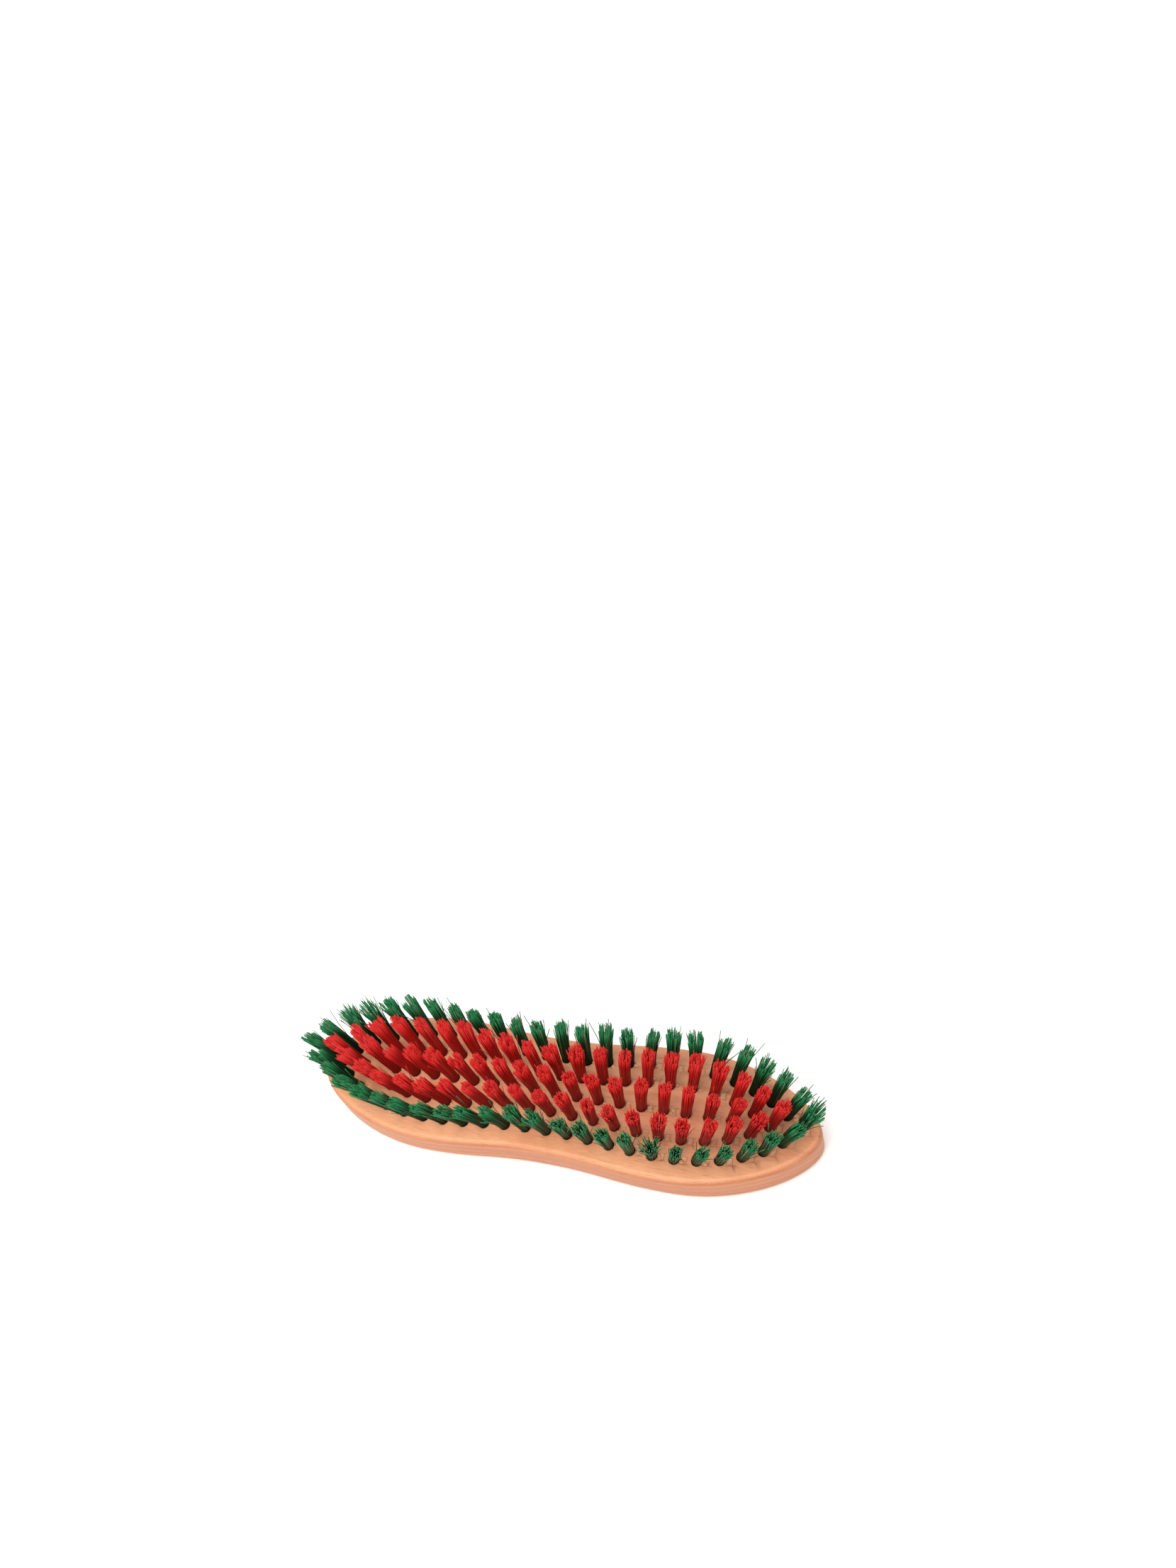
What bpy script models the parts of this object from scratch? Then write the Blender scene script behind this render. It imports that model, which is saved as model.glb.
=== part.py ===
"""A hand scrubbing brush: a flat wooden block with tufts of stiff plastic filament.

The block is waisted like a fiddle and comes to a blunt point at both ends, so that the brush
reaches into corners. Its face is bored with three sets of blind holes: a border ring of green
tufts, a ring of red tufts inside it and a row of red tufts along the spine. Every hole leans
outwards, so the tufts fan, and all of them are trimmed to one flat plane. A paper label is
stuck on the back, near the heel.

Units are metres. +X runs from the nose to the heel and +Z from the back to the tufts' tips.
The brush lies on its back, and z = 0 is the lowest face, the outside of the label.
"""

import math

import bmesh
import bpy
import numpy as np
from mathutils import Matrix, Vector, geometry

# ---------------------------------------------------------------- driving dimensions
# Block, in plan
BLOCK_LENGTH = 0.215
NOSE_BULGE_WIDTH = 0.0555
NOSE_BULGE_X = -0.052
WAIST_WIDTH = 0.050
WAIST_X = -0.003
HEEL_BULGE_WIDTH = 0.056
HEEL_BULGE_X = 0.0515
# How far each Bezier handle reaches, as a share of its span: 0.55 all round is an ellipse
NOSE_TIP_FULLNESS = 0.45
HEEL_TIP_FULLNESS = 0.38
BULGE_FULLNESS = 0.55
WAIST_FULLNESS = 0.45
# Block, in section
BLOCK_THICKNESS = 0.0135
EDGE_ROUND = 0.0020
# Bored holes
HOLE_DIAMETER = 0.0045
HOLE_DEPTH = 0.0090
BORDER_INSET = 0.0091
BORDER_PITCH = 0.0090
RING_PITCH = 0.0092
SPINE_PITCH = 0.0091
SPINE_HEEL_GAP = 0.0150
SPINE_NOSE_GAP = 0.0150
# Sideways travel counts this many times over in the spacing, so holes crowd at the two ends
SIDEWAYS_WEIGHT = 1.34
# Tufts
TRIM_HEIGHT = 0.0215
TIP_DIAMETER = 0.0062
# Each hole leans by its distance from the middle of the block over these
FAN_RADIUS_ALONG = 0.235
FAN_RADIUS_ACROSS = 0.090
# Label
LABEL_LENGTH = 0.046
LABEL_WIDTH = 0.029
LABEL_THICKNESS = 0.0002
LABEL_CORNER = 0.005
LABEL_CENTRE = (0.0650, -0.0028)
LABEL_TURN = math.radians(6.0)
# Clearance between pieces that touch on the real brush
FIT_GAP = 0.0003

# ---------------------------------------------------------------- construction choices
OUTLINE_STEPS = 12
HOLE_SIDES = 8
TUFT_SIDES = 6
CORNER_STEPS = 5
EDGE_SEGMENTS = 3
RING_STEPS = 180
HALVINGS = 30
BORE_OVERSHOOT = 0.0015
# The rounding of both edges together takes no more than this share of the thickness
MOST_ROUNDED = 0.8
ROUNDED_CORNER_ANGLE = math.radians(60)
SMOOTH_ANGLE = math.radians(40)
# Each object holds a short run of neighbouring tufts, and these are the numbers of objects
BORDER_RUNS = 24
RING_RUNS = 20
SPINE_RUNS = 9
# The top band of each tuft, where its filaments cross those of the next one
CROSSING_BAND = 0.0030

# ---------------------------------------------------------------- heights that follow
BACK_Z = LABEL_THICKNESS + FIT_GAP
FACE_Z = BACK_Z + BLOCK_THICKNESS
TRIM_Z = FACE_Z + TRIM_HEIGHT
# The feet stop a hole's radius short of its bottom, where the anchor wire lies
FOOT_Z = FACE_Z - (HOLE_DEPTH - HOLE_DIAMETER / 2 - FIT_GAP)


# ---------------------------------------------------------------- helpers
def clear_scene():
    for obj in list(bpy.data.objects):
        bpy.data.objects.remove(obj, do_unlink=True)


def new_collection(name, shown=True):
    collection = bpy.data.collections.new(name)
    bpy.context.scene.collection.children.link(collection)
    collection.hide_render = not shown
    return collection


def new_material(name, colour, roughness):
    material = bpy.data.materials.new(name)
    material.use_nodes = True
    shader = material.node_tree.nodes["Principled BSDF"]
    shader.inputs["Base Color"].default_value = (*colour, 1.0)
    shader.inputs["Roughness"].default_value = roughness
    shader.inputs["Metallic"].default_value = 0.0
    return material


def add_object(name, data, collection, parent=None, material=None):
    obj = bpy.data.objects.new(name, data)
    collection.objects.link(obj)
    obj.parent = parent
    if material is not None:
        data.materials.clear()
        data.materials.append(material)
    return obj


def shade(mesh):
    mesh.shade_smooth()
    mesh.set_sharp_from_angle(angle=SMOOTH_ANGLE)


def flat_plate(name, points, thickness, collection):
    """A plate with this closed outline, centred on z = 0, as a welded mesh."""
    curve = bpy.data.curves.new(name, "CURVE")
    curve.dimensions = "2D"
    curve.fill_mode = "BOTH"
    curve.extrude = thickness / 2
    spline = curve.splines.new("POLY")
    spline.points.add(len(points) - 1)
    for point, (x, y) in zip(spline.points, points):
        point.co = (x, y, 0.0, 1.0)
    spline.use_cyclic_u = True
    outline = add_object(name + "_outline", curve, collection)
    bpy.context.view_layer.update()
    graph = bpy.context.evaluated_depsgraph_get()
    mesh = bpy.data.meshes.new_from_object(outline.evaluated_get(graph))
    bpy.data.objects.remove(outline, do_unlink=True)
    mesh.name = name
    body = bmesh.new()
    body.from_mesh(mesh)
    bmesh.ops.remove_doubles(body, verts=body.verts, dist=1e-6)
    bmesh.ops.dissolve_limit(body, angle_limit=1e-3, verts=body.verts, edges=body.edges)
    bmesh.ops.recalc_face_normals(body, faces=body.faces)
    body.to_mesh(mesh)
    body.free()
    return mesh


# ---------------------------------------------------------------- plan of the block
def half_outline():
    """The block's outline from the nose's point to the heel's, on the +Y side."""
    end = BLOCK_LENGTH / 2
    nose = Vector((-end, 0))
    nose_bulge = Vector((NOSE_BULGE_X, NOSE_BULGE_WIDTH / 2))
    waist = Vector((WAIST_X, WAIST_WIDTH / 2))
    heel_bulge = Vector((HEEL_BULGE_X, HEEL_BULGE_WIDTH / 2))
    heel = Vector((end, 0))

    def along(start, stop, share):
        return start + Vector(((stop.x - start.x) * share, 0))

    nose_handle = nose + Vector((0, nose_bulge.y * NOSE_TIP_FULLNESS))
    heel_handle = heel + Vector((0, heel_bulge.y * HEEL_TIP_FULLNESS))
    spans = (
        (nose, nose_handle, along(nose_bulge, nose, BULGE_FULLNESS), nose_bulge),
        (
            nose_bulge,
            along(nose_bulge, waist, WAIST_FULLNESS),
            along(waist, nose_bulge, WAIST_FULLNESS),
            waist,
        ),
        (
            waist,
            along(waist, heel_bulge, WAIST_FULLNESS),
            along(heel_bulge, waist, WAIST_FULLNESS),
            heel_bulge,
        ),
        (heel_bulge, along(heel_bulge, heel, BULGE_FULLNESS), heel_handle, heel),
    )
    points = [nose]
    for span in spans:
        points += geometry.interpolate_bezier(*span, OUTLINE_STEPS + 1)[1:]
    return np.array([(point.x, point.y) for point in points])


def both_halves(half):
    """A closed loop from a half outline that starts and ends on the X axis."""
    return np.concatenate([half, half[-2:0:-1] * (1, -1)])


def weighted_travel(points):
    """How far each point lies along a path, where sideways travel counts more."""
    steps = np.diff(points, axis=0) * (1, SIDEWAYS_WEIGHT)
    return np.concatenate([[0], np.cumsum(np.linalg.norm(steps, axis=1))])


def resampled(points, count):
    """This many points, evenly spaced by weighted travel along a path, both its ends included."""
    travelled = weighted_travel(points)
    wanted = np.linspace(0, travelled[-1], count)
    return np.stack([np.interp(wanted, travelled, points[:, axis]) for axis in (0, 1)], axis=1)


def distance_inside(points, loop):
    """How far each point lies from the nearest edge of the loop."""
    edge = np.roll(loop, -1, axis=0) - loop
    offset = points[:, None] - loop[None]
    share = np.clip((offset * edge).sum(-1) / (edge**2).sum(-1), 0, 1)
    return np.linalg.norm(offset - share[..., None] * edge, axis=-1).min(axis=1)


def last_inside(inner, outer, is_inside):
    """The last point, on the way from each inner point to its outer one, that is inside."""
    for _ in range(HALVINGS):
        middle = (inner + outer) / 2
        inside = is_inside(middle)[:, None]
        inner = np.where(inside, middle, inner)
        outer = np.where(inside, outer, middle)
    return inner


def inset_half(loop, inset):
    """The half line on the +Y side that runs everywhere this far inside the loop."""

    def is_inside(points):
        return distance_inside(points, loop) > inset

    reach = np.array([(-BLOCK_LENGTH / 2, 0.0), (BLOCK_LENGTH / 2, 0.0)])
    waist = np.array([(WAIST_X, 0.0), (WAIST_X, 0.0)])
    first, last = last_inside(waist, reach, is_inside)[:, 0]
    angle = np.linspace(0, math.pi, RING_STEPS + 1)[1:-1]
    x = (first + last) / 2 - (last - first) / 2 * np.cos(angle)
    flank = loop[: len(loop) // 2 + 1]
    axis = np.stack([x, np.zeros_like(x)], axis=1)
    edge = np.stack([x, np.interp(x, flank[:, 0], flank[:, 1])], axis=1)
    return np.concatenate([[(first, 0)], last_inside(axis, edge, is_inside), [(last, 0)]])


def ring_places(loop, inset, pitch):
    """An even number of places, evenly spaced round an inset ring, from the heel by -Y."""
    ring = both_halves(inset_half(loop, inset))
    ring = np.roll(ring, -int(np.argmax(ring[:, 0])), axis=0)
    ring = np.concatenate([ring, ring[:1]])
    count = 2 * round(weighted_travel(ring)[-1] / pitch / 2)
    return resampled(ring, count + 1)[:-1]


def spine_places(ring):
    """Evenly spaced places on the X axis, from the heel's end of the ring to the nose's."""
    first = ring[:, 0].max() - SPINE_HEEL_GAP
    last = ring[:, 0].min() + SPINE_NOSE_GAP
    count = round((first - last) / SPINE_PITCH) + 1
    return np.stack([np.linspace(first, last, count), np.zeros(count)], axis=1)


# ---------------------------------------------------------------- pieces
def lean(place):
    """How far a tuft at this place moves sideways for each metre that it rises."""
    return Vector((place[0] / FAN_RADIUS_ALONG, place[1] / FAN_RADIUS_ACROSS, 1.0))


def make_block(loop, places, parts, cutters, root, material):
    mesh = flat_plate("wooden_block", loop, BLOCK_THICKNESS, parts)
    block = add_object("wooden_block", mesh, parts, root, material)
    block.location.z = BACK_Z + BLOCK_THICKNESS / 2
    rounding = block.modifiers.new("rounded_edges", "BEVEL")
    rounding.width = min(EDGE_ROUND, BLOCK_THICKNESS * MOST_ROUNDED / 2)
    rounding.segments = EDGE_SEGMENTS
    rounding.limit_method = "ANGLE"
    rounding.angle_limit = ROUNDED_CORNER_ANGLE
    drilling = block.modifiers.new("tuft_holes", "BOOLEAN")
    drilling.operation = "DIFFERENCE"
    drilling.object = make_bores(places, cutters)
    shade(mesh)
    return block


def make_bores(places, cutters):
    """One cutter that holds a leaning drill for every hole, from above the face to its bottom."""
    drills = bmesh.new()
    for place in places:
        direction = lean(place).normalized()
        mouth = Vector((place[0], place[1], FACE_Z))
        middle = mouth + direction * (BORE_OVERSHOOT - HOLE_DEPTH) / 2
        turn = Vector((0, 0, 1)).rotation_difference(direction).to_matrix().to_4x4()
        bmesh.ops.create_cone(
            drills,
            cap_ends=True,
            segments=HOLE_SIDES,
            radius1=HOLE_DIAMETER / 2,
            radius2=HOLE_DIAMETER / 2,
            depth=HOLE_DEPTH + BORE_OVERSHOOT,
            matrix=Matrix.Translation(middle) @ turn,
        )
    mesh = bpy.data.meshes.new("tuft_drills")
    drills.to_mesh(mesh)
    drills.free()
    cutter = add_object("tuft_drills", mesh, cutters)
    cutter.hide_render = True
    cutter.display_type = "WIRE"
    return cutter


def add_tuft(body, place, facing, origin):
    """One tuft: a straight foot in its hole that flares from the mouth to the trimmed tips.

    It is a capped circle whose rim is extruded upwards level by level and capped again. Its
    sides line up with the direction it faces, which is towards the next tuft of its run.
    """
    hole_wall = HOLE_DIAMETER / 2 * math.cos(math.pi / HOLE_SIDES)
    foot_radius = hole_wall - FIT_GAP
    tip_radius = TIP_DIAMETER / 2
    band_share = 1 - CROSSING_BAND / TRIM_HEIGHT
    levels = (
        (FACE_Z, foot_radius),
        (TRIM_Z - CROSSING_BAND, foot_radius + (tip_radius - foot_radius) * band_share),
        (TRIM_Z, tip_radius),
    )
    slope = lean(place)
    mouth = Vector((place[0], place[1], FACE_Z)) - origin
    centre = mouth + slope * (FOOT_Z - FACE_Z)
    made = bmesh.ops.create_circle(
        body,
        cap_ends=True,
        segments=TUFT_SIDES,
        radius=foot_radius,
        matrix=Matrix.Translation(centre) @ Matrix.Rotation(facing, 4, "Z"),
    )
    rim = made["verts"][0].link_faces[0].edges[:]
    radius = foot_radius
    for height, next_radius in levels:
        next_centre = mouth + slope * (height - FACE_Z)
        grown = bmesh.ops.extrude_edge_only(body, edges=rim)["geom"]
        rim = [item for item in grown if isinstance(item, bmesh.types.BMEdge)]
        for vertex in (item for item in grown if isinstance(item, bmesh.types.BMVert)):
            vertex.co = next_centre + (vertex.co - centre) * (next_radius / radius)
        centre = next_centre
        radius = next_radius
    return bmesh.ops.contextual_create(body, geom=rim)["faces"][0]


def side_towards(tip_face, target):
    """The side face just under a tuft's tip that looks most nearly at the target."""
    centre = tip_face.calc_center_median()
    wanted = (target - centre).normalized()
    sides = [other for edge in tip_face.edges for other in edge.link_faces if other != tip_face]
    return max(sides, key=lambda side: (side.calc_center_median() - centre).normalized().dot(wanted))


def join_tips(body, tip_face, next_tip_face):
    """Ties two tufts at the crossing band, where their outermost filaments meet."""
    pair = (
        side_towards(tip_face, next_tip_face.calc_center_median()),
        side_towards(next_tip_face, tip_face.calc_center_median()),
    )
    edges = [edge for side in pair for edge in side.edges]
    bmesh.ops.delete(body, geom=pair, context="FACES_ONLY")
    bmesh.ops.bridge_loops(body, edges=edges)


def make_tufts(name, places, runs, parts, root, material):
    """A set of tufts, as this many objects of one or more neighbours each."""
    for number, run in enumerate(np.array_split(places, runs), start=1):
        origin = Vector((run[0][0], run[0][1], FACE_Z))
        following = np.roll(run, -1, axis=0) - run
        following[-1] = following[-2] if len(run) > 1 else (1.0, 0.0)
        body = bmesh.new()
        tips = [
            add_tuft(body, place, math.atan2(step[1], step[0]), origin)
            for place, step in zip(run, following)
        ]
        for tip, next_tip in zip(tips, tips[1:]):
            join_tips(body, tip, next_tip)
        bmesh.ops.recalc_face_normals(body, faces=body.faces)
        mesh = bpy.data.meshes.new(f"{name}_{number:02d}")
        body.to_mesh(mesh)
        body.free()
        shade(mesh)
        tuft = add_object(mesh.name, mesh, parts, root, material)
        tuft.location = origin


def make_label(parts, root, material):
    """A paper label with three rounded corners; the one nearest the waist and +Y is square."""
    half_length = LABEL_LENGTH / 2
    half_width = LABEL_WIDTH / 2
    points = [(-half_length, half_width)]
    for side_x, side_y, start in ((-1, -1, 180), (1, -1, 270), (1, 1, 0)):
        centre = Vector(
            (side_x * (half_length - LABEL_CORNER), side_y * (half_width - LABEL_CORNER))
        )
        for angle in np.radians(np.linspace(start, start + 90, CORNER_STEPS)):
            points.append(centre + LABEL_CORNER * Vector((math.cos(angle), math.sin(angle))))
    mesh = flat_plate("back_label", points, LABEL_THICKNESS, parts)
    label = add_object("back_label", mesh, parts, root, material)
    label.location = (*LABEL_CENTRE, LABEL_THICKNESS / 2)
    label.rotation_euler.z = LABEL_TURN


# ---------------------------------------------------------------- assembly
def main():
    clear_scene()
    parts = new_collection("scrubbing_brush")
    cutters = new_collection("cutters", shown=False)
    root = add_object("brush_root", None, parts)

    wood = new_material("pale_wood", (0.78, 0.48, 0.27), 0.55)
    green = new_material("green_filament", (0.02, 0.22, 0.08), 0.40)
    red = new_material("red_filament", (0.70, 0.03, 0.02), 0.40)
    paper = new_material("label_paper", (0.80, 0.80, 0.76), 0.60)

    loop = both_halves(half_outline())
    row_step = (WAIST_WIDTH / 2 - BORDER_INSET) / 2
    border = ring_places(loop, BORDER_INSET, BORDER_PITCH)
    ring = ring_places(loop, BORDER_INSET + row_step, RING_PITCH)
    spine = spine_places(ring)

    make_block(loop, np.concatenate([border, ring, spine]), parts, cutters, root, wood)
    make_tufts("border_tufts", border, BORDER_RUNS, parts, root, green)
    make_tufts("ring_tufts", ring, RING_RUNS, parts, root, red)
    make_tufts("spine_tufts", spine, SPINE_RUNS, parts, root, red)
    make_label(parts, root, paper)
    print(f"{len(border)} border, {len(ring)} ring and {len(spine)} spine tufts")


main()
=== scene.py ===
# %% [markdown]
# # A hand scrubbing brush with red and green tufts
# The brush is a flat wooden block, bored with leaning holes, and every hole holds a tuft of
# stiff plastic filament. A plain model with the true sizes exists already: it is the frame,
# and this lesson dresses it. Every new piece is grown from points read off the frame, so it
# fits by itself, and nothing in the frame is moved.

# %% Load the frame
import math

import bpy
import numpy as np
from mathutils import Matrix, Vector, geometry


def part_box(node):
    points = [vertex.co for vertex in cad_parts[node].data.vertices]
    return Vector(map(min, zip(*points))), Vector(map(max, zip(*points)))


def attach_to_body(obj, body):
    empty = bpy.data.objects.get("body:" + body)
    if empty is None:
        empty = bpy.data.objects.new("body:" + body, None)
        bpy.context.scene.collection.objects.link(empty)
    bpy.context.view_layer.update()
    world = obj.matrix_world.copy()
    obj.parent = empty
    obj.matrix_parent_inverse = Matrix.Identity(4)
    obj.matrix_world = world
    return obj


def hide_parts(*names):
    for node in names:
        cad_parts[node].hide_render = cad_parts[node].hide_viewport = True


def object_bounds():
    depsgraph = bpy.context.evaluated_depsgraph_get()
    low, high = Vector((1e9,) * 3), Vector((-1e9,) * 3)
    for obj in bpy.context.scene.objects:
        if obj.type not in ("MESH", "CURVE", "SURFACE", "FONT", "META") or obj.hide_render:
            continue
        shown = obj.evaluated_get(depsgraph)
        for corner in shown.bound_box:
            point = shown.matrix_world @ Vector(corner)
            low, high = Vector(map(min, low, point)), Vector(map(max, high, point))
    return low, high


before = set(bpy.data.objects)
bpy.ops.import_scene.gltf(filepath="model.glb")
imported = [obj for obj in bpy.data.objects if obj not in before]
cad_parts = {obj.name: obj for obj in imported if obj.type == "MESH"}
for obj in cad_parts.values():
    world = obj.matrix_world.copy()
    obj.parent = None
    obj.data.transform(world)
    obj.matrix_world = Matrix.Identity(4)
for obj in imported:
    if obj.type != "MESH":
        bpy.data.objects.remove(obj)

for leftover in ("Cube", "Camera", "Light"):
    if leftover in bpy.data.objects:
        bpy.data.objects.remove(bpy.data.objects[leftover], do_unlink=True)
cad_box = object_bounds()
size = cad_box[1] - cad_box[0]
print("frame:", len(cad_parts), "nodes,", " x ".join(f"{1000 * side:.1f}" for side in size), "mm")

# %% [markdown]
# ## Camera, floor and light
# A close camera looks down at the brush from its nose's right-hand side, and it is rolled a
# little, as a hand-held camera is. Its place and its three angles are enough to rebuild it.
# The floor is a plain pale sheet and the light is plain and soft: one large lamp near the
# camera, a smaller one that puts a soft spot on the block's flank, and a white sky that is
# brightest overhead, as under a studio's ceiling.

# %% Camera
CAMERA_PLACE = Vector((0.1654, -0.1868, 0.4600))
CAMERA_AZIMUTH = math.radians(-29.29)
CAMERA_DIP = math.radians(48.18)
CAMERA_ROLL = math.radians(-18.91)
CAMERA_LENS = 27.83
CAMERA_SENSOR = 36.0


def aimed_camera(name, place, azimuth, dip, roll, lens):
    """A camera that looks along an azimuth from +Y, dips below level and rolls about its axis."""
    ahead = Vector(
        (
            math.sin(azimuth) * math.cos(dip),
            math.cos(azimuth) * math.cos(dip),
            -math.sin(dip),
        )
    )
    level_right = Vector((math.cos(azimuth), -math.sin(azimuth), 0.0))
    level_up = level_right.cross(ahead)
    right = level_right * math.cos(roll) + level_up * math.sin(roll)
    up = level_up * math.cos(roll) - level_right * math.sin(roll)
    data = bpy.data.cameras.new(name)
    data.lens = lens
    data.sensor_width = CAMERA_SENSOR
    data.clip_start = 0.01
    data.clip_end = 50.0
    camera = bpy.data.objects.new(name, data)
    bpy.context.scene.collection.objects.link(camera)
    turn = Matrix((right, up, -ahead)).transposed()
    camera.matrix_world = Matrix.Translation(place) @ turn.to_4x4()
    return camera


camera = aimed_camera(
    "camera", CAMERA_PLACE, CAMERA_AZIMUTH, CAMERA_DIP, CAMERA_ROLL, CAMERA_LENS
)
bpy.context.scene.camera = camera
bpy.context.scene.view_settings.view_transform = "Standard"
print("camera stands", round((CAMERA_PLACE - (cad_box[0] + cad_box[1]) / 2).length, 3), "m away")

# %% Lamps and sky
SKY_OVERHEAD = 1.38
SKY_HORIZON = 0.20
KEY_PLACE = (-0.12, -0.30, 1.40)
KEY_SIZE = 0.9
KEY_POWER = 10.0
SPOT_PLACE = (-0.25, -0.90, 0.55)
SPOT_SIZE = 0.25
SPOT_POWER = 2.6
AIM = (0.0, 0.0, 0.02)


def soft_lamp(name, place, width, power, tint):
    """A square lamp of this width that faces the brush."""
    data = bpy.data.lights.new(name, "AREA")
    data.size = width
    data.energy = power
    data.color = tint
    lamp = bpy.data.objects.new(name, data)
    bpy.context.scene.collection.objects.link(lamp)
    towards = Vector(AIM) - Vector(place)
    lamp.location = place
    lamp.rotation_euler = towards.to_track_quat("-Z", "Y").to_euler()
    return lamp


soft_lamp("key_lamp", KEY_PLACE, KEY_SIZE, KEY_POWER, (1.0, 0.97, 0.93))
soft_lamp("spot_lamp", SPOT_PLACE, SPOT_SIZE, SPOT_POWER, (1.0, 0.97, 0.93))
world = bpy.data.worlds.new("pale_room")
world.use_nodes = True
bpy.context.scene.world = world
sky = world.node_tree.nodes["Background"]
sky.inputs["Color"].default_value = (1.0, 0.995, 0.99, 1.0)
direction = world.node_tree.nodes.new("ShaderNodeTexCoord")
height = world.node_tree.nodes.new("ShaderNodeSeparateXYZ")
strength = world.node_tree.nodes.new("ShaderNodeMapRange")
strength.interpolation_type = "SMOOTHSTEP"
strength.inputs["To Min"].default_value = SKY_HORIZON
strength.inputs["To Max"].default_value = SKY_OVERHEAD
world.node_tree.links.new(direction.outputs["Generated"], height.inputs["Vector"])
world.node_tree.links.new(height.outputs["Z"], strength.inputs["Value"])
world.node_tree.links.new(strength.outputs["Result"], sky.inputs["Strength"])
print("sky and two lamps")

# %% [markdown]
# ## Putting arrays into meshes
# Every piece below is worked out with numpy as whole arrays of points, so one helper turns
# points and faces into an object. It takes faces in groups, each an array with as many
# columns as its faces have corners, and writes them with `foreach_set`, which is far quicker
# than a loop when a brush has thousands of filaments.


# %% Helper: arrays to object
def mesh_object(name, points, face_groups, material=None):
    """An object at the origin from (N, 3) points and arrays of corner indices, one row a face."""
    groups = [np.asarray(group) for group in face_groups if len(group)]
    corners = np.concatenate([group.ravel() for group in groups]).astype(np.int32)
    totals = np.concatenate([np.full(len(group), group.shape[1]) for group in groups])
    starts = np.concatenate([[0], np.cumsum(totals)[:-1]])
    mesh = bpy.data.meshes.new(name)
    mesh.vertices.add(len(points))
    mesh.vertices.foreach_set("co", np.asarray(points, np.float32).ravel())
    mesh.loops.add(len(corners))
    mesh.loops.foreach_set("vertex_index", corners)
    mesh.polygons.add(len(totals))
    mesh.polygons.foreach_set("loop_start", starts.astype(np.int32))
    mesh.update(calc_edges=True)
    mesh.validate()
    obj = bpy.data.objects.new(name, mesh)
    bpy.context.scene.collection.objects.link(obj)
    if material is not None:
        mesh.materials.append(material)
    return obj


def grid_faces(rows, columns, wrap):
    """Quads of a grid of points stored row by row; with wrap the last column meets the first."""
    row, column = np.mgrid[0 : rows - 1, 0 : columns - (not wrap)]
    beside = (column + 1) % columns
    corners = (
        row * columns + column,
        row * columns + beside,
        (row + 1) * columns + beside,
        (row + 1) * columns + column,
    )
    return np.stack(corners, axis=-1).reshape(-1, 4)


def welded(points, face_groups):
    """Merges points that lie within a hundredth of a millimetre and drops faces that collapse."""
    _, first, index = np.unique(
        np.round(points * 1e5), axis=0, return_index=True, return_inverse=True
    )
    index = index.reshape(-1)
    kept = []
    for group in face_groups:
        group = index[group]
        ordered = np.sort(group, axis=1)
        kept.append(group[(np.diff(ordered, axis=1) > 0).all(axis=1)])
    return points[first], kept


def attach(piece, node_names):
    """Rides on the brush and stands for these frame nodes, which it hides."""
    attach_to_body(piece, "root")
    if node_names:
        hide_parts(*node_names)


FLOOR_WIDTH = 12.0
FLOOR_STEPS = 5
across = np.linspace(-FLOOR_WIDTH / 2, FLOOR_WIDTH / 2, FLOOR_STEPS)
floor_x, floor_y = np.meshgrid(across, across)
floor_points = np.stack([floor_x.ravel(), floor_y.ravel(), np.zeros(floor_x.size)], axis=1)
floor = mesh_object("floor", floor_points, [grid_faces(FLOOR_STEPS, FLOOR_STEPS, False)])
print("floor:", FLOOR_WIDTH, "m square")

# %% [markdown]
# ## Reading the frame
# The frame keeps its places in its meshes. The block's outline is the ring of corners at the
# top of its lower edge round. Each tuft is a six-sided stub, so the middles of its lowest and
# highest rings give the line that the tuft follows. A node holds one tuft or two, and two are
# told apart by which of two far corners they lie nearer to.


# %% Outline and tuft lines
EDGE_ROUND = 0.0020
LEVEL_BAND = 0.00005
TUFT_CORNERS = 6


def corners_of(node):
    """The different corner points of a frame node, as an array."""
    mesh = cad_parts[node].data
    points = np.empty(len(mesh.vertices) * 3, np.float32)
    mesh.vertices.foreach_get("co", points)
    return np.unique(np.round(points.reshape(-1, 3).astype(float), 6), axis=0)


def two_middles(points):
    """The middles of two clusters, found from the corners that lie farthest apart."""
    gaps = np.linalg.norm(points[:, None] - points[None], axis=-1)
    first, second = np.unravel_index(gaps.argmax(), gaps.shape)
    nearer_first = gaps[first] < gaps[second]
    return points[nearer_first].mean(axis=0), points[~nearer_first].mean(axis=0)


def tuft_lines(node):
    """The (foot, tip) middles of a node's tufts, each pair in step along the brush."""
    points = corners_of(node)
    low_ring = points[points[:, 2] < points[:, 2].min() + LEVEL_BAND]
    high_ring = points[points[:, 2] > points[:, 2].max() - LEVEL_BAND]
    if len(low_ring) <= TUFT_CORNERS:
        return low_ring.mean(axis=0)[None], high_ring.mean(axis=0)[None]
    feet, tips = two_middles(low_ring), two_middles(high_ring)
    straight = np.linalg.norm(feet[0] - tips[0]) + np.linalg.norm(feet[1] - tips[1])
    crossed = np.linalg.norm(feet[0] - tips[1]) + np.linalg.norm(feet[1] - tips[0])
    if crossed < straight:
        tips = tips[::-1]
    return np.array(feet), np.array(tips)


block_low, block_high = (np.array(corner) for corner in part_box("wooden_block"))
BACK_Z = block_low[2]
FACE_Z = block_high[2]
tuft_nodes = sorted(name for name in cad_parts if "_tufts_" in name)
lines = {name: tuft_lines(name) for name in tuft_nodes}
FOOT_Z = min(feet[:, 2].min() for feet, _ in lines.values())
TRIM_Z = max(tips[:, 2].max() for _, tips in lines.values())

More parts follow.
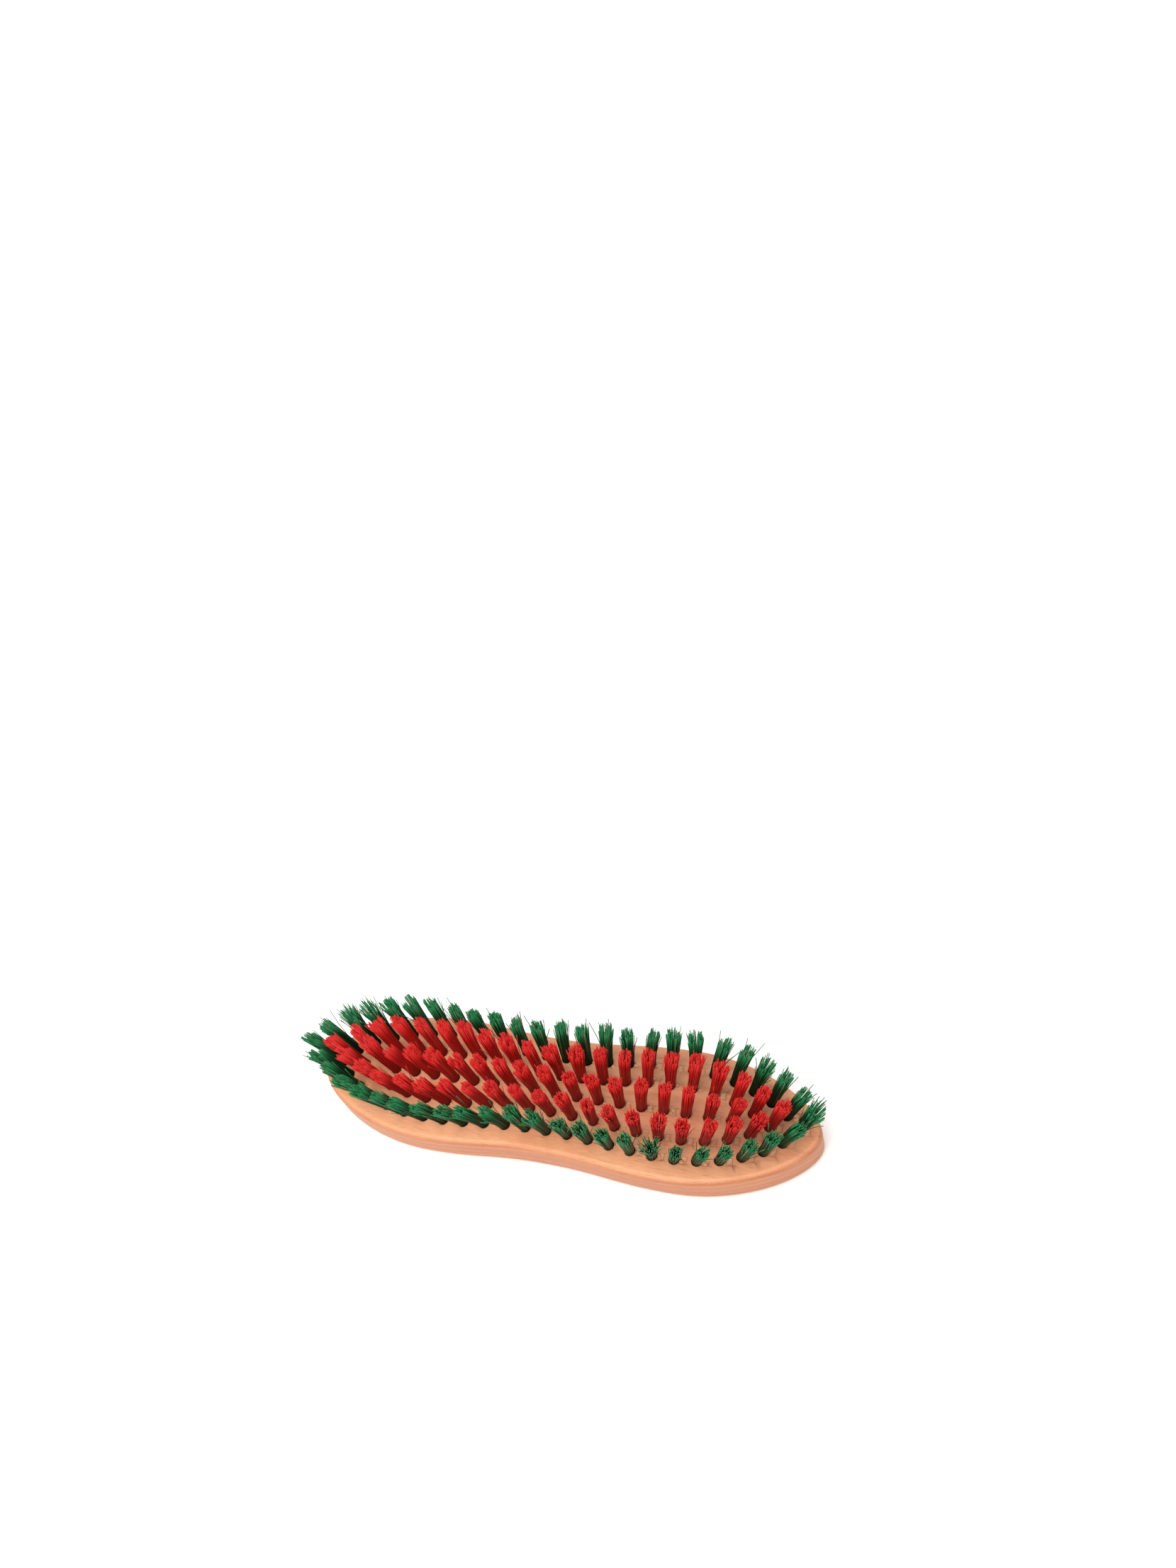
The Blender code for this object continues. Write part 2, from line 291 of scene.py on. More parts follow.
all_feet = np.concatenate([feet for feet, _ in lines.values()])
all_tips = np.concatenate([tips for _, tips in lines.values()])
slopes = (all_tips - all_feet) / (all_tips - all_feet)[:, 2:]
mouths = all_feet + slopes * (FACE_Z - all_feet[:, 2:])

block_corners = corners_of("wooden_block")
level = np.abs(block_corners[:, 2] - (BACK_Z + EDGE_ROUND)) < LEVEL_BAND
outline = block_corners[level, :2]
span = np.ptp(outline, axis=0)
outline = outline[np.argsort(np.arctan2(outline[:, 1] / span[1], outline[:, 0] / span[0]))]
print(len(outline), "outline corners,", len(mouths), "tufts, trimmed at", round(1000 * TRIM_Z, 2), "mm")

# %% [markdown]
# ## Shared effects
# Three effects are wanted in more than one finish, so each is a node group that is built once
# and placed in the materials with its own values: wood figure, tint along a filament, and a
# fine mottle that stops any surface from being one flat colour.


# %% Helper: node groups
def new_group(name, inputs, outputs):
    """An empty shader group with these (name, kind, value) inputs and (name, kind) outputs."""
    group = bpy.data.node_groups.new(name, "ShaderNodeTree")
    for label, kind, value in inputs:
        socket = group.interface.new_socket(
            name=label, in_out="INPUT", socket_type="NodeSocket" + kind
        )
        if value is not None:
            socket.default_value = value
    for label, kind in outputs:
        group.interface.new_socket(name=label, in_out="OUTPUT", socket_type="NodeSocket" + kind)
    entry = group.nodes.new("NodeGroupInput")
    leave = group.nodes.new("NodeGroupOutput")
    return group, entry, leave


def node(tree, kind, values=(), links=(), **settings):
    """A node with its settings, then {input: value} values and {input: socket} links."""
    made = tree.nodes.new("ShaderNode" + kind)
    for key, value in settings.items():
        setattr(made, key, value)
    for key, value in dict(values).items():
        made.inputs[key].default_value = value
    for key, socket in dict(links).items():
        tree.links.new(socket, made.inputs[key])
    return made


def math_node(tree, operation, first, second=None, clamp=False):
    """A Math node's output; each of its inputs is a socket or a number."""
    made = tree.nodes.new("ShaderNodeMath")
    made.operation = operation
    made.use_clamp = clamp
    for index, value in enumerate((first, second)):
        if value is None:
            continue
        if isinstance(value, (int, float)):
            made.inputs[index].default_value = value
        else:
            tree.links.new(value, made.inputs[index])
    return made.outputs[0]


def blend_colours(tree, share, first, second, mode="MIX"):
    """A colour Mix node's output; the colours and the share are sockets or values."""
    made = tree.nodes.new("ShaderNodeMix")
    made.data_type = "RGBA"
    made.blend_type = mode
    colours = [socket for socket in made.inputs if socket.type == "RGBA"]
    factor = made.inputs[0]
    for socket, value in zip((factor, *colours), (share, first, second)):
        if isinstance(value, bpy.types.NodeSocket):
            tree.links.new(value, socket)
        else:
            socket.default_value = value
    return next(socket for socket in made.outputs if socket.type == "RGBA")


def ramp(tree, value, stops):
    """A colour ramp through (position, colour) stops."""
    made = tree.nodes.new("ShaderNodeValToRGB")
    elements = made.color_ramp.elements
    while len(elements) < len(stops):
        elements.new(0.5)
    for element, (position, colour) in zip(elements, stops):
        element.position = position
        element.color = colour
    tree.links.new(value, made.inputs["Fac"])
    return made.outputs["Color"]


def smooth_step(tree, value, low, high):
    """A value eased from 0 at low to 1 at high."""
    made = tree.nodes.new("ShaderNodeMapRange")
    made.interpolation_type = "SMOOTHSTEP"
    tree.links.new(value, made.inputs["Value"])
    made.inputs["From Min"].default_value = low
    made.inputs["From Max"].default_value = high
    return made.outputs["Result"]


# %% Group: wood figure
BLACK = (0.0, 0.0, 0.0, 1.0)
WHITE = (1.0, 1.0, 1.0, 1.0)


def wood_figure_group():
    """Annual bands, pore streaks, fibre and blotches of a board sawn along X.

    Bands are rings about a line that lies well below the board and nearly along it. Streaks
    and fibre are noise stretched along X, and blotches are broad noise.
    """
    group, entry, leave = new_group(
        "wood_figure",
        [("Vector", "Vector", None), ("Band Scale", "Float", 60.0)],
        [("Bands", "Float"), ("Streaks", "Float"), ("Fibre", "Float"), ("Blotches", "Float")],
    )
    where = entry.outputs["Vector"]
    heart = node(
        group,
        "Mapping",
        {"Location": (0.0, 0.021, 0.034), "Rotation": (0.0, math.radians(1.6), math.radians(2.2))},
        {"Vector": where},
    )
    bands = node(
        group,
        "TexWave",
        {"Distortion": 2.6, "Detail": 2.0, "Detail Scale": 0.35, "Detail Roughness": 0.55},
        {"Vector": heart.outputs[0], "Scale": entry.outputs["Band Scale"]},
        wave_type="RINGS",
        rings_direction="X",
        wave_profile="SIN",
    )
    long_pores = node(group, "Mapping", {"Scale": (85.0, 2300.0, 2300.0)}, {"Vector": where})
    pores = node(
        group, "TexNoise", {"Scale": 1.0, "Detail": 2.0, "Roughness": 0.6}, {"Vector": long_pores.outputs[0]}
    )
    long_fibre = node(group, "Mapping", {"Scale": (260.0, 5200.0, 5200.0)}, {"Vector": where})
    fibre = node(
        group, "TexNoise", {"Scale": 1.0, "Detail": 3.0, "Roughness": 0.65}, {"Vector": long_fibre.outputs[0]}
    )
    patches = node(group, "Mapping", {"Scale": (9.0, 75.0, 190.0)}, {"Vector": where})
    blotches = node(
        group, "TexNoise", {"Scale": 1.0, "Detail": 3.0, "Roughness": 0.5}, {"Vector": patches.outputs[0]}
    )
    streaks = smooth_step(group, pores.outputs["Fac"], 0.615, 0.74)
    group.links.new(bands.outputs["Fac"], leave.inputs["Bands"])
    group.links.new(streaks, leave.inputs["Streaks"])
    group.links.new(fibre.outputs["Fac"], leave.inputs["Fibre"])
    group.links.new(blotches.outputs["Fac"], leave.inputs["Blotches"])
    return group


wood_figure = wood_figure_group()
print("group:", wood_figure.name, "with", len(wood_figure.nodes), "nodes")


# %% Group: tint along a filament
def filament_tint_group():
    """Colour from foot to tip of a filament, with painted shade at the foot, its own tone and a paler cut
    end.

    Along runs from 0 at the hole's mouth to 1 at the tip, Strand is one number per filament
    and Cut is 1 on the trimmed end.
    """
    group, entry, leave = new_group(
        "filament_tint",
        [
            ("Foot Shade Colour", "Color", BLACK),
            ("Body Colour", "Color", WHITE),
            ("Tip Colour", "Color", WHITE),
            ("Cut Colour", "Color", WHITE),
            ("Odd Colour", "Color", WHITE),
            ("Odd Share", "Float", 0.05),
            ("Foot Shade Reach", "Float", 0.45),
            ("Shade Spread", "Float", 0.5),
        ],
        [("Colour", "Color"), ("Gloss Noise", "Float")],
    )
    along = node(group, "Attribute", attribute_name="along").outputs["Fac"]
    strand = node(group, "Attribute", attribute_name="strand").outputs["Fac"]
    cut = node(group, "Attribute", attribute_name="cut").outputs["Fac"]
    # Painted shade: deep in the tuft the colour darkens towards the foot's colour, where the filaments shade
    # one another.
    depth = math_node(group, "DIVIDE", along, entry.outputs["Foot Shade Reach"], clamp=True)
    rise = math_node(group, "POWER", depth, 0.8, clamp=True)
    colour = blend_colours(group, rise, entry.outputs["Foot Shade Colour"], entry.outputs["Body Colour"])
    near_tip = smooth_step(group, along, 0.62, 1.0)
    colour = blend_colours(group, near_tip, colour, entry.outputs["Tip Colour"])
    odd = math_node(group, "LESS_THAN", strand, entry.outputs["Odd Share"])
    odd = math_node(group, "MULTIPLY", odd, smooth_step(group, along, 0.05, 0.5))
    colour = blend_colours(group, odd, colour, entry.outputs["Odd Colour"])
    off_middle = math_node(group, "SUBTRACT", strand, 0.5)
    spread = math_node(group, "MULTIPLY", off_middle, entry.outputs["Shade Spread"])
    shade = math_node(group, "ADD", spread, 1.0)
    shade_colour = node(group, "CombineColor", {}, {"Red": shade, "Green": shade, "Blue": shade})
    colour = blend_colours(group, 1.0, colour, shade_colour.outputs["Color"], "MULTIPLY")
    colour = blend_colours(group, cut, colour, entry.outputs["Cut Colour"])
    group.links.new(colour, leave.inputs["Colour"])
    wavy = math_node(group, "FRACT", math_node(group, "MULTIPLY", strand, 7.31))
    group.links.new(wavy, leave.inputs["Gloss Noise"])
    return group


filament_tint = filament_tint_group()
print("group:", filament_tint.name, "with", len(filament_tint.nodes), "nodes")


# %% Group: fine mottle
def mottle_group():
    """A mask of small soft specks, from noise at a given scale, thinned to a given amount."""
    group, entry, leave = new_group(
        "mottle",
        [("Vector", "Vector", None), ("Scale", "Float", 400.0), ("Amount", "Float", 0.5)],
        [("Mask", "Float")],
    )
    noise = node(
        group,
        "TexNoise",
        {"Detail": 3.0, "Roughness": 0.6},
        {"Vector": entry.outputs["Vector"], "Scale": entry.outputs["Scale"]},
    )
    mask = smooth_step(group, noise.outputs["Fac"], 0.35, 0.75)
    thinned = math_node(group, "MULTIPLY", mask, entry.outputs["Amount"])
    group.links.new(thinned, leave.inputs["Mask"])
    return group


mottle = mottle_group()
print("group:", mottle.name)


# %% Helper: a material with its shader
def new_material(name, **values):
    """A material, its node tree and its Principled shader, with values on the shader's sockets."""
    material = bpy.data.materials.new(name)
    material.use_nodes = True
    tree = material.node_tree
    shader = tree.nodes["Principled BSDF"]
    for key, value in values.items():
        shader.inputs[key.replace("_", " ").title().replace("Ior", "IOR")].default_value = value
    return material, tree, shader


def placed_group(tree, group, values=(), links=()):
    """A group placed in a material with its own values and links."""
    made = tree.nodes.new("ShaderNodeGroup")
    made.node_tree = group
    for key, value in dict(values).items():
        made.inputs[key].default_value = value
    for key, socket in dict(links).items():
        tree.links.new(socket, made.inputs[key])
    return made


# %% [markdown]
# ### Floor finish
# The floor only has to be quiet: a pale matt sheet with a trace of mottle.

# %% Floor finish
floor_material, tree, shader = new_material("pale_floor", roughness=0.85)
coordinates = node(tree, "TexCoord")
specks = placed_group(
    tree, mottle, {"Scale": 30.0, "Amount": 0.25}, {"Vector": coordinates.outputs["Object"]}
)
tint = blend_colours(tree, specks.outputs["Mask"], (0.97, 0.97, 0.97, 1.0), (0.955, 0.955, 0.955, 1.0))
tree.links.new(tint, shader.inputs["Base Color"])
floor.data.materials.append(floor_material)
print("finish:", floor_material.name)

# %% [markdown]
# ## The wooden block
# The block is sawn from one board, routed to a waisted outline and rounded over along both
# edges. Where a hole was bored and its tuft driven in, fibres tore up round the mouth, and
# at the heel end the machine's nozzle left a shallow square dent beside each hole.
#
# A boolean could cut the holes, but it leaves nothing to shape round them. Instead the face
# is one sheet of triangles that already has the hole rims, rings round them and the dents'
# outlines in it, so a height function can lift the torn lips and press the dents. The flank
# is a profile carried round the outline, and each hole is a tube.


# %% Smooth outline
OUTLINE_COUNT = 360
FINE_STEPS = 12


def smooth_loop(points, count):
    """Evenly spread points on a smooth closed line through the given ones.

    Each stretch is a cubic that leaves and meets its end points along the mean of the slopes
    on either side, weighted by the neighbouring lengths.
    """
    following = np.roll(points, -1, axis=0)
    length = np.linalg.norm(following - points, axis=1)[:, None]
    slope = (following - points) / length
    before_length, before_slope = np.roll(length, 1, axis=0), np.roll(slope, 1, axis=0)
    tangent = (before_slope * length + slope * before_length) / (length + before_length)
    share = np.linspace(0, 1, FINE_STEPS, endpoint=False)[None, :, None]
    start, end = points[:, None], following[:, None]
    leave, arrive = (tangent * length)[:, None], (np.roll(tangent, -1, axis=0) * length)[:, None]
    line = (
        start * (2 * share**3 - 3 * share**2 + 1)
        + leave * (share**3 - 2 * share**2 + share)
        + end * (3 * share**2 - 2 * share**3)
        + arrive * (share**3 - share**2)
    ).reshape(-1, 2)
    closed = np.concatenate([line, line[:1]])
    travelled = np.concatenate([[0], np.cumsum(np.linalg.norm(np.diff(closed, axis=0), axis=1))])
    wanted = np.linspace(0, travelled[-1], count, endpoint=False)
    return np.stack([np.interp(wanted, travelled, closed[:, axis]) for axis in (0, 1)], axis=1)


def outward(loop):
    """Unit vectors that point out of a closed loop that runs anticlockwise."""
    tangent = np.roll(loop, -1, axis=0) - np.roll(loop, 1, axis=0)
    normal = np.stack([tangent[:, 1], -tangent[:, 0]], axis=1)
    return normal / np.linalg.norm(normal, axis=1)[:, None]


edge_loop = smooth_loop(outline, OUTLINE_COUNT)
edge_normal = outward(edge_loop)
print("outline:", OUTLINE_COUNT, "points,", np.round(1000 * np.ptp(edge_loop, axis=0), 2), "mm")

# %% Heights on the face
HOLE_RADIUS = 0.00225
HOLE_SIDES = 24
RING_OFFSETS = (0.0, 0.00014, 0.00034, 0.00065, 0.00105)
LIP_REACH = 0.00036
LIP_HEIGHT = 0.00060
LIP_WAVES = 7
DENT_START = 0.016
DENT_OFFSET = 0.0038
DENT_HALF_LENGTH = 0.0011
DENT_HALF_WIDTH = 0.0015
DENT_SOFTNESS = 0.00024
DENT_DEPTH = 0.00050
DENT_TAPER = 0.15
DENT_TURN_SPREAD = math.radians(7)
DENT_SIZE_MEAN = 0.9
DENT_SIZE_SPREAD = 0.25
DENT_SIZE_RANGE = (0.3, 1.3)
DENT_FADE_LENGTH = 0.02
LIP_SIZE_RANGE = (0.35, 1.0)
LIP_UNDERCUT = 0.30
LIP_SWING = 2.2
LIP_LOWEST = -0.15
SHADE_LINE_WIDTH = 0.00012
DENT_POINTS = 24
DENT_RINGS = (0.00022, 0.0, -DENT_SOFTNESS)
rng = np.random.default_rng(11)
hole_centres = mouths[:, :2]
lip_phase = rng.uniform(0, 2 * math.pi, (len(hole_centres), LIP_WAVES))
lip_size = rng.uniform(*LIP_SIZE_RANGE, len(hole_centres))
dent_turn = rng.normal(0, DENT_TURN_SPREAD, len(hole_centres))
dent_size = np.clip(rng.normal(DENT_SIZE_MEAN, DENT_SIZE_SPREAD, len(hole_centres)), *DENT_SIZE_RANGE)
dent_size *= np.clip((hole_centres[:, 0] - DENT_START) / DENT_FADE_LENGTH, 0, 1)


def lip_at(offset, hole):
    """Torn fibre round a mouth: a ridge that falls off with distance from the rim.

    Its height changes round the hole as a sum of waves with random phases, and it is kept to
    the heel side, where the driver pushed the fibres.
    """
    away = np.linalg.norm(offset, axis=-1) - HOLE_RADIUS
    angle = np.arctan2(offset[..., 1], offset[..., 0])
    wave = np.arange(1, LIP_WAVES + 1)
    rough = np.cos(wave * angle[..., None] + lip_phase[hole]).sum(axis=-1) / LIP_WAVES
    heel_side = 0.35 + 0.65 * (0.5 + 0.5 * np.cos(angle)) ** 2
    ridge = np.exp(-((away / LIP_REACH) ** 2))
    ridge = ridge - LIP_UNDERCUT * np.exp(-((away / (LIP_REACH / 3)) ** 2))
    torn = np.clip(0.25 + rough * LIP_SWING, LIP_LOWEST, 1.0)
    return LIP_HEIGHT * lip_size[hole] * heel_side * ridge * torn


def dent_frame(offset, hole):
    """Offsets from a hole in its dent's own axes, along and across, from the dent's middle."""
    along = offset[..., 0] - DENT_OFFSET
    across = offset[..., 1]
    cos, sin = np.cos(dent_turn[hole]), np.sin(dent_turn[hole])
    return along * cos + across * sin, across * cos - along * sin


def dent_at(offset, hole):
    """A shallow square dent that is deepest on its heel side, with a soft wall.

    Depth is a rounded square's soft edge times a slope that grows towards the heel.
    """
    along, across = dent_frame(offset, hole)
    half_width = DENT_HALF_WIDTH * (1 - DENT_TAPER * along / DENT_HALF_LENGTH)
    inside = np.maximum(np.abs(along) - DENT_HALF_LENGTH, np.abs(across) - half_width)
    wall = np.clip(-inside / DENT_SOFTNESS, 0, 1)
    wall = wall * wall * (3 - 2 * wall)
    slope = np.clip(0.55 + 0.45 * along / DENT_HALF_LENGTH, 0, 1)
    return -DENT_DEPTH * dent_size[hole] * wall * slope


def shade_and_fresh_wood_at(offset, hole):
    """Painted shadow, 1 on a dent's rim and on a lip's ridges, and pale fresh wood, below 0 in a dent."""
    along, across = dent_frame(offset, hole)
    rim = np.maximum(np.abs(along) - DENT_HALF_LENGTH, np.abs(across) - DENT_HALF_WIDTH)
    line = np.exp(-((rim / SHADE_LINE_WIDTH) ** 2)) * dent_size[hole] * (0.45 + 0.55 * (along > 0))
    pressed = np.clip(-rim / DENT_SOFTNESS - 0.5, 0, 1) * dent_size[hole]
    return line - pressed + np.clip(3 * lip_at(offset, hole) / LIP_HEIGHT, 0, 1)


def summed_over_holes(places, effect):
    """An effect of (offset, hole), summed at each (x, y) over the holes near it."""
    total = np.zeros(len(places))
    for hole in range(len(hole_centres)):
        offset = places - hole_centres[hole]
        near = np.abs(offset).max(axis=1) < DENT_OFFSET + 2 * DENT_HALF_LENGTH
        total[near] += effect(offset[near], hole)
    return total


def face_height(places):
    """How far the face stands above or below its plane at each (x, y)."""
    return summed_over_holes(places, lambda offset, hole: lip_at(offset, hole) + dent_at(offset, hole))


print("dents beside", int((dent_size > 0).sum()), "holes")


# %% The face as one sheet
GUARD_INSET = 0.0005


def circle(centres, radius, sides):
    """Rings of points round many centres, as (centre, side, 2)."""
    angle = np.linspace(0, 2 * math.pi, sides, endpoint=False)
    return centres[:, None] + radius * np.stack([np.cos(angle), np.sin(angle)], axis=1)[None]


def dent_loops(grow):
    """Rounded squares round each dent, grown or shrunk by this much, as (hole, point, 2)."""
    angle = np.linspace(0, 2 * math.pi, DENT_POINTS, endpoint=False)
    squarish = np.abs(np.cos(angle)) ** 4 + np.abs(np.sin(angle)) ** 4
    shape = np.stack([np.cos(angle), np.sin(angle)], axis=1) / squarish[:, None] ** 0.25
    shape = shape * (DENT_HALF_LENGTH + grow, DENT_HALF_WIDTH + grow)
    dented = np.flatnonzero(dent_size > 0)
    cos, sin = np.cos(dent_turn[dented])[:, None], np.sin(dent_turn[dented])[:, None]
    x = shape[:, 0] * cos - shape[:, 1] * sin + DENT_OFFSET
    y = shape[:, 0] * sin + shape[:, 1] * cos
    return hole_centres[dented][:, None] + np.stack([x, y], axis=-1)


def is_inside(points, loop):
    """Whether each point is inside a closed loop, by how often a line to the right crosses it."""
    x, y = points[:, 0][:, None], points[:, 1][:, None]
    start, end = loop, np.roll(loop, -1, axis=0)
    spans = (start[:, 1] > y) != (end[:, 1] > y)
    rise = np.where(end[:, 1] == start[:, 1], 1.0, end[:, 1] - start[:, 1])
    crossing = start[:, 0] + (y - start[:, 1]) / rise * (end[:, 0] - start[:, 0])
    return (spans & (x < crossing)).sum(axis=1) % 2 == 1


def flat_sheet(loops, outer, holes, hole_radius):
    """Triangles that fill a closed outline, follow all loops and leave the round holes open.

    The loops go into a constrained Delaunay triangulation in millimetres; triangles outside
    the outline or inside a hole are dropped.
    """
    counts = [len(loop) for loop in loops]
    starts = np.concatenate([[0], np.cumsum(counts)[:-1]])
    points = 1000 * np.concatenate(loops)
    edges = np.concatenate(
        [
            np.stack([start + np.arange(n), start + (np.arange(n) + 1) % n], axis=1)
            for start, n in zip(starts, counts)
        ]
    )
    made = geometry.delaunay_2d_cdt([Vector(point) for point in points], edges.tolist(), [], 0, 1e-5)
    flat = np.array([tuple(point) for point in made[0]]) / 1000
    triangles = np.array([face for face in made[2] if len(face) == 3])
    middle = flat[triangles].mean(axis=1)
    keep = is_inside(middle, outer)
    if len(holes):
        gap = np.linalg.norm(middle[:, None] - holes[None], axis=-1).min(axis=1)
        keep &= gap > hole_radius * 0.99
    triangles = triangles[keep]
    side = flat[triangles]
    area = np.cross(side[:, 1] - side[:, 0], side[:, 2] - side[:, 0])
    triangles[area < 0] = triangles[area < 0][:, ::-1]
    return flat, triangles[np.abs(area) > 1e-12]


arris = edge_loop - edge_normal * EDGE_ROUND
guard = edge_loop - edge_normal * (EDGE_ROUND + GUARD_INSET)
hole_rings = [
    ring
    for offset in RING_OFFSETS
    for ring in circle(hole_centres, HOLE_RADIUS + offset, HOLE_SIDES)
]
dent_rings = [loop for grow in DENT_RINGS for loop in dent_loops(grow)]
face_flat, face_triangles = flat_sheet(
    [arris, guard, *hole_rings, *dent_rings], arris, hole_centres, HOLE_RADIUS
)
face_points = np.column_stack([face_flat, FACE_Z + face_height(face_flat)])
print("face:", len(face_points), "points,", len(face_triangles), "triangles")

# %% Back face with two clamp rings
CLAMP_X = (-0.0370, 0.0315)
CLAMP_RADIUS = 0.0035
CLAMP_HALF_WIDTH = 0.00030
CLAMP_DEPTH = 0.00008
CLAMP_SIDES = 48
clamp_centres = np.array([(x, 0.0) for x in CLAMP_X])
clamp_radii = CLAMP_RADIUS + CLAMP_HALF_WIDTH * np.array([-1.0, 0.0, 1.0])
clamp_rings = [ring for radius in clamp_radii for ring in circle(clamp_centres, radius, CLAMP_SIDES)]
back_flat, back_triangles = flat_sheet([arris, guard, *clamp_rings], arris, [], 0)
from_ring = np.abs(
    np.linalg.norm(back_flat[:, None] - clamp_centres[None], axis=-1).min(axis=1) - CLAMP_RADIUS
)
groove = CLAMP_DEPTH * np.clip(1 - from_ring / CLAMP_HALF_WIDTH, 0, 1)
back_points = np.column_stack([back_flat, BACK_Z + groove])
print("back:", len(back_triangles), "triangles, rings of", 2000 * CLAMP_RADIUS, "mm")

# %% Flank and hole walls
ROUND_STEPS = 8
FLANK_STEPS = 3
CREASE_SHARE = 0.22
HOLE_DEPTH = 0.0090
WALL_DEPTHS = (0.0, 0.0004, 0.0020, 0.0055, HOLE_DEPTH)


def flank_surface():
    """A rounded profile carried round the outline.

    The profile is a quarter circle from the face, a straight drop and a quarter circle into
    the back. At each outline point it is set back along the outline's normal. The circle is
    mixed with a little of a straight chamfer, which leaves a faint crease along the face.
    """
    turn = np.linspace(0, math.pi / 2, ROUND_STEPS + 1)
    fall = (1 - CREASE_SHARE) * (1 - np.cos(turn)) + CREASE_SHARE * np.sin(turn)
    top_inset, top_z = EDGE_ROUND * (1 - np.sin(turn)), FACE_Z - EDGE_ROUND * fall
    side_z = np.linspace(FACE_Z - EDGE_ROUND, BACK_Z + EDGE_ROUND, FLANK_STEPS + 1)[1:-1]
    inset = np.concatenate([top_inset, np.zeros_like(side_z), top_inset[::-1]])
    z = np.concatenate([top_z, side_z, BACK_Z + FACE_Z - top_z[::-1]])
    plan = edge_loop[None] - edge_normal[None] * inset[:, None, None]
    points = np.concatenate([plan, np.broadcast_to(z[:, None, None], (*plan.shape[:2], 1))], axis=2)
    return points.reshape(-1, 3), grid_faces(len(z), OUTLINE_COUNT, True)[:, ::-1]


def hole_surfaces():
    """Tubes that follow each tuft's line down from the rim, with a closing point at the bottom."""
    depth = np.array(WALL_DEPTHS)
    rings = circle(hole_centres, HOLE_RADIUS, HOLE_SIDES)
    drift = -slopes[:, None, :2] * depth[None, :, None]
    plan = rings[:, None] + drift[:, :, None]
    height = np.broadcast_to((FACE_Z - depth)[None, :, None], plan.shape[:3]).copy()
    height[:, 0] += face_height(rings.reshape(-1, 2)).reshape(rings.shape[:2])
    walls = np.concatenate([plan, height[..., None]], axis=-1).reshape(-1, 3)
    stride = len(depth) * HOLE_SIDES
    wall_quads = grid_faces(len(depth), HOLE_SIDES, True)
    quads = (wall_quads[None] + stride * np.arange(len(rings))[:, None, None]).reshape(-1, 4)
    bottom = (len(depth) - 1) * HOLE_SIDES + np.arange(HOLE_SIDES)
    caps = bottom[None] + stride * np.arange(len(rings))[:, None]
    return walls, quads, caps


flank_points, flank_quads = flank_surface()
wall_points, wall_quads, bottom_caps = hole_surfaces()
print("flank:", len(flank_quads), "quads; holes:", len(wall_quads), "quads")

# %% [markdown]
# ### Wood finish
# The block is a pale, fine-grained wood that looks peach-coloured on its face and flank and
# creamier on its back. Bands follow the board's annual rings, and short brown pores and fine
# fibre run along it. The flank is painted a tone deeper, as painted shade against the extra light that falls
# on it.
# A weak bump follows the pores, and the surface has a low satin gloss.

# %% Wood finish
PEACH = (0.850, 0.400, 0.205, 1.0)
PEACH_DARK = (0.640, 0.235, 0.100, 1.0)
ROSE = (0.740, 0.290, 0.150, 1.0)
CREAM = (0.87, 0.60, 0.30, 1.0)
PORE_AND_SHADE_BROWN = (0.27, 0.095, 0.035, 1.0)
FRESH_WOOD = (0.90, 0.53, 0.31, 1.0)
FIBRE_SHADES = [(0.30, (0.80, 0.75, 0.70, 1.0)), (0.68, (1.07, 1.07, 1.07, 1.0))]
BAND_CONTRAST = 2.2
BAND_STRENGTH = 0.50
BLOTCH_STRENGTH = 0.68
PORE_STRENGTH = 0.48
PAINTED_SHADE_STRENGTH = 0.74
PRESSED_STRENGTH = 0.75
FLANK_SHADE_TONE = (0.69, 0.58, 0.49, 1.0)
KNOTS = ((0.1066, -0.0005, 0.0137, 0.00032), (-0.0420, 0.0010, 0.0005, 0.0004))


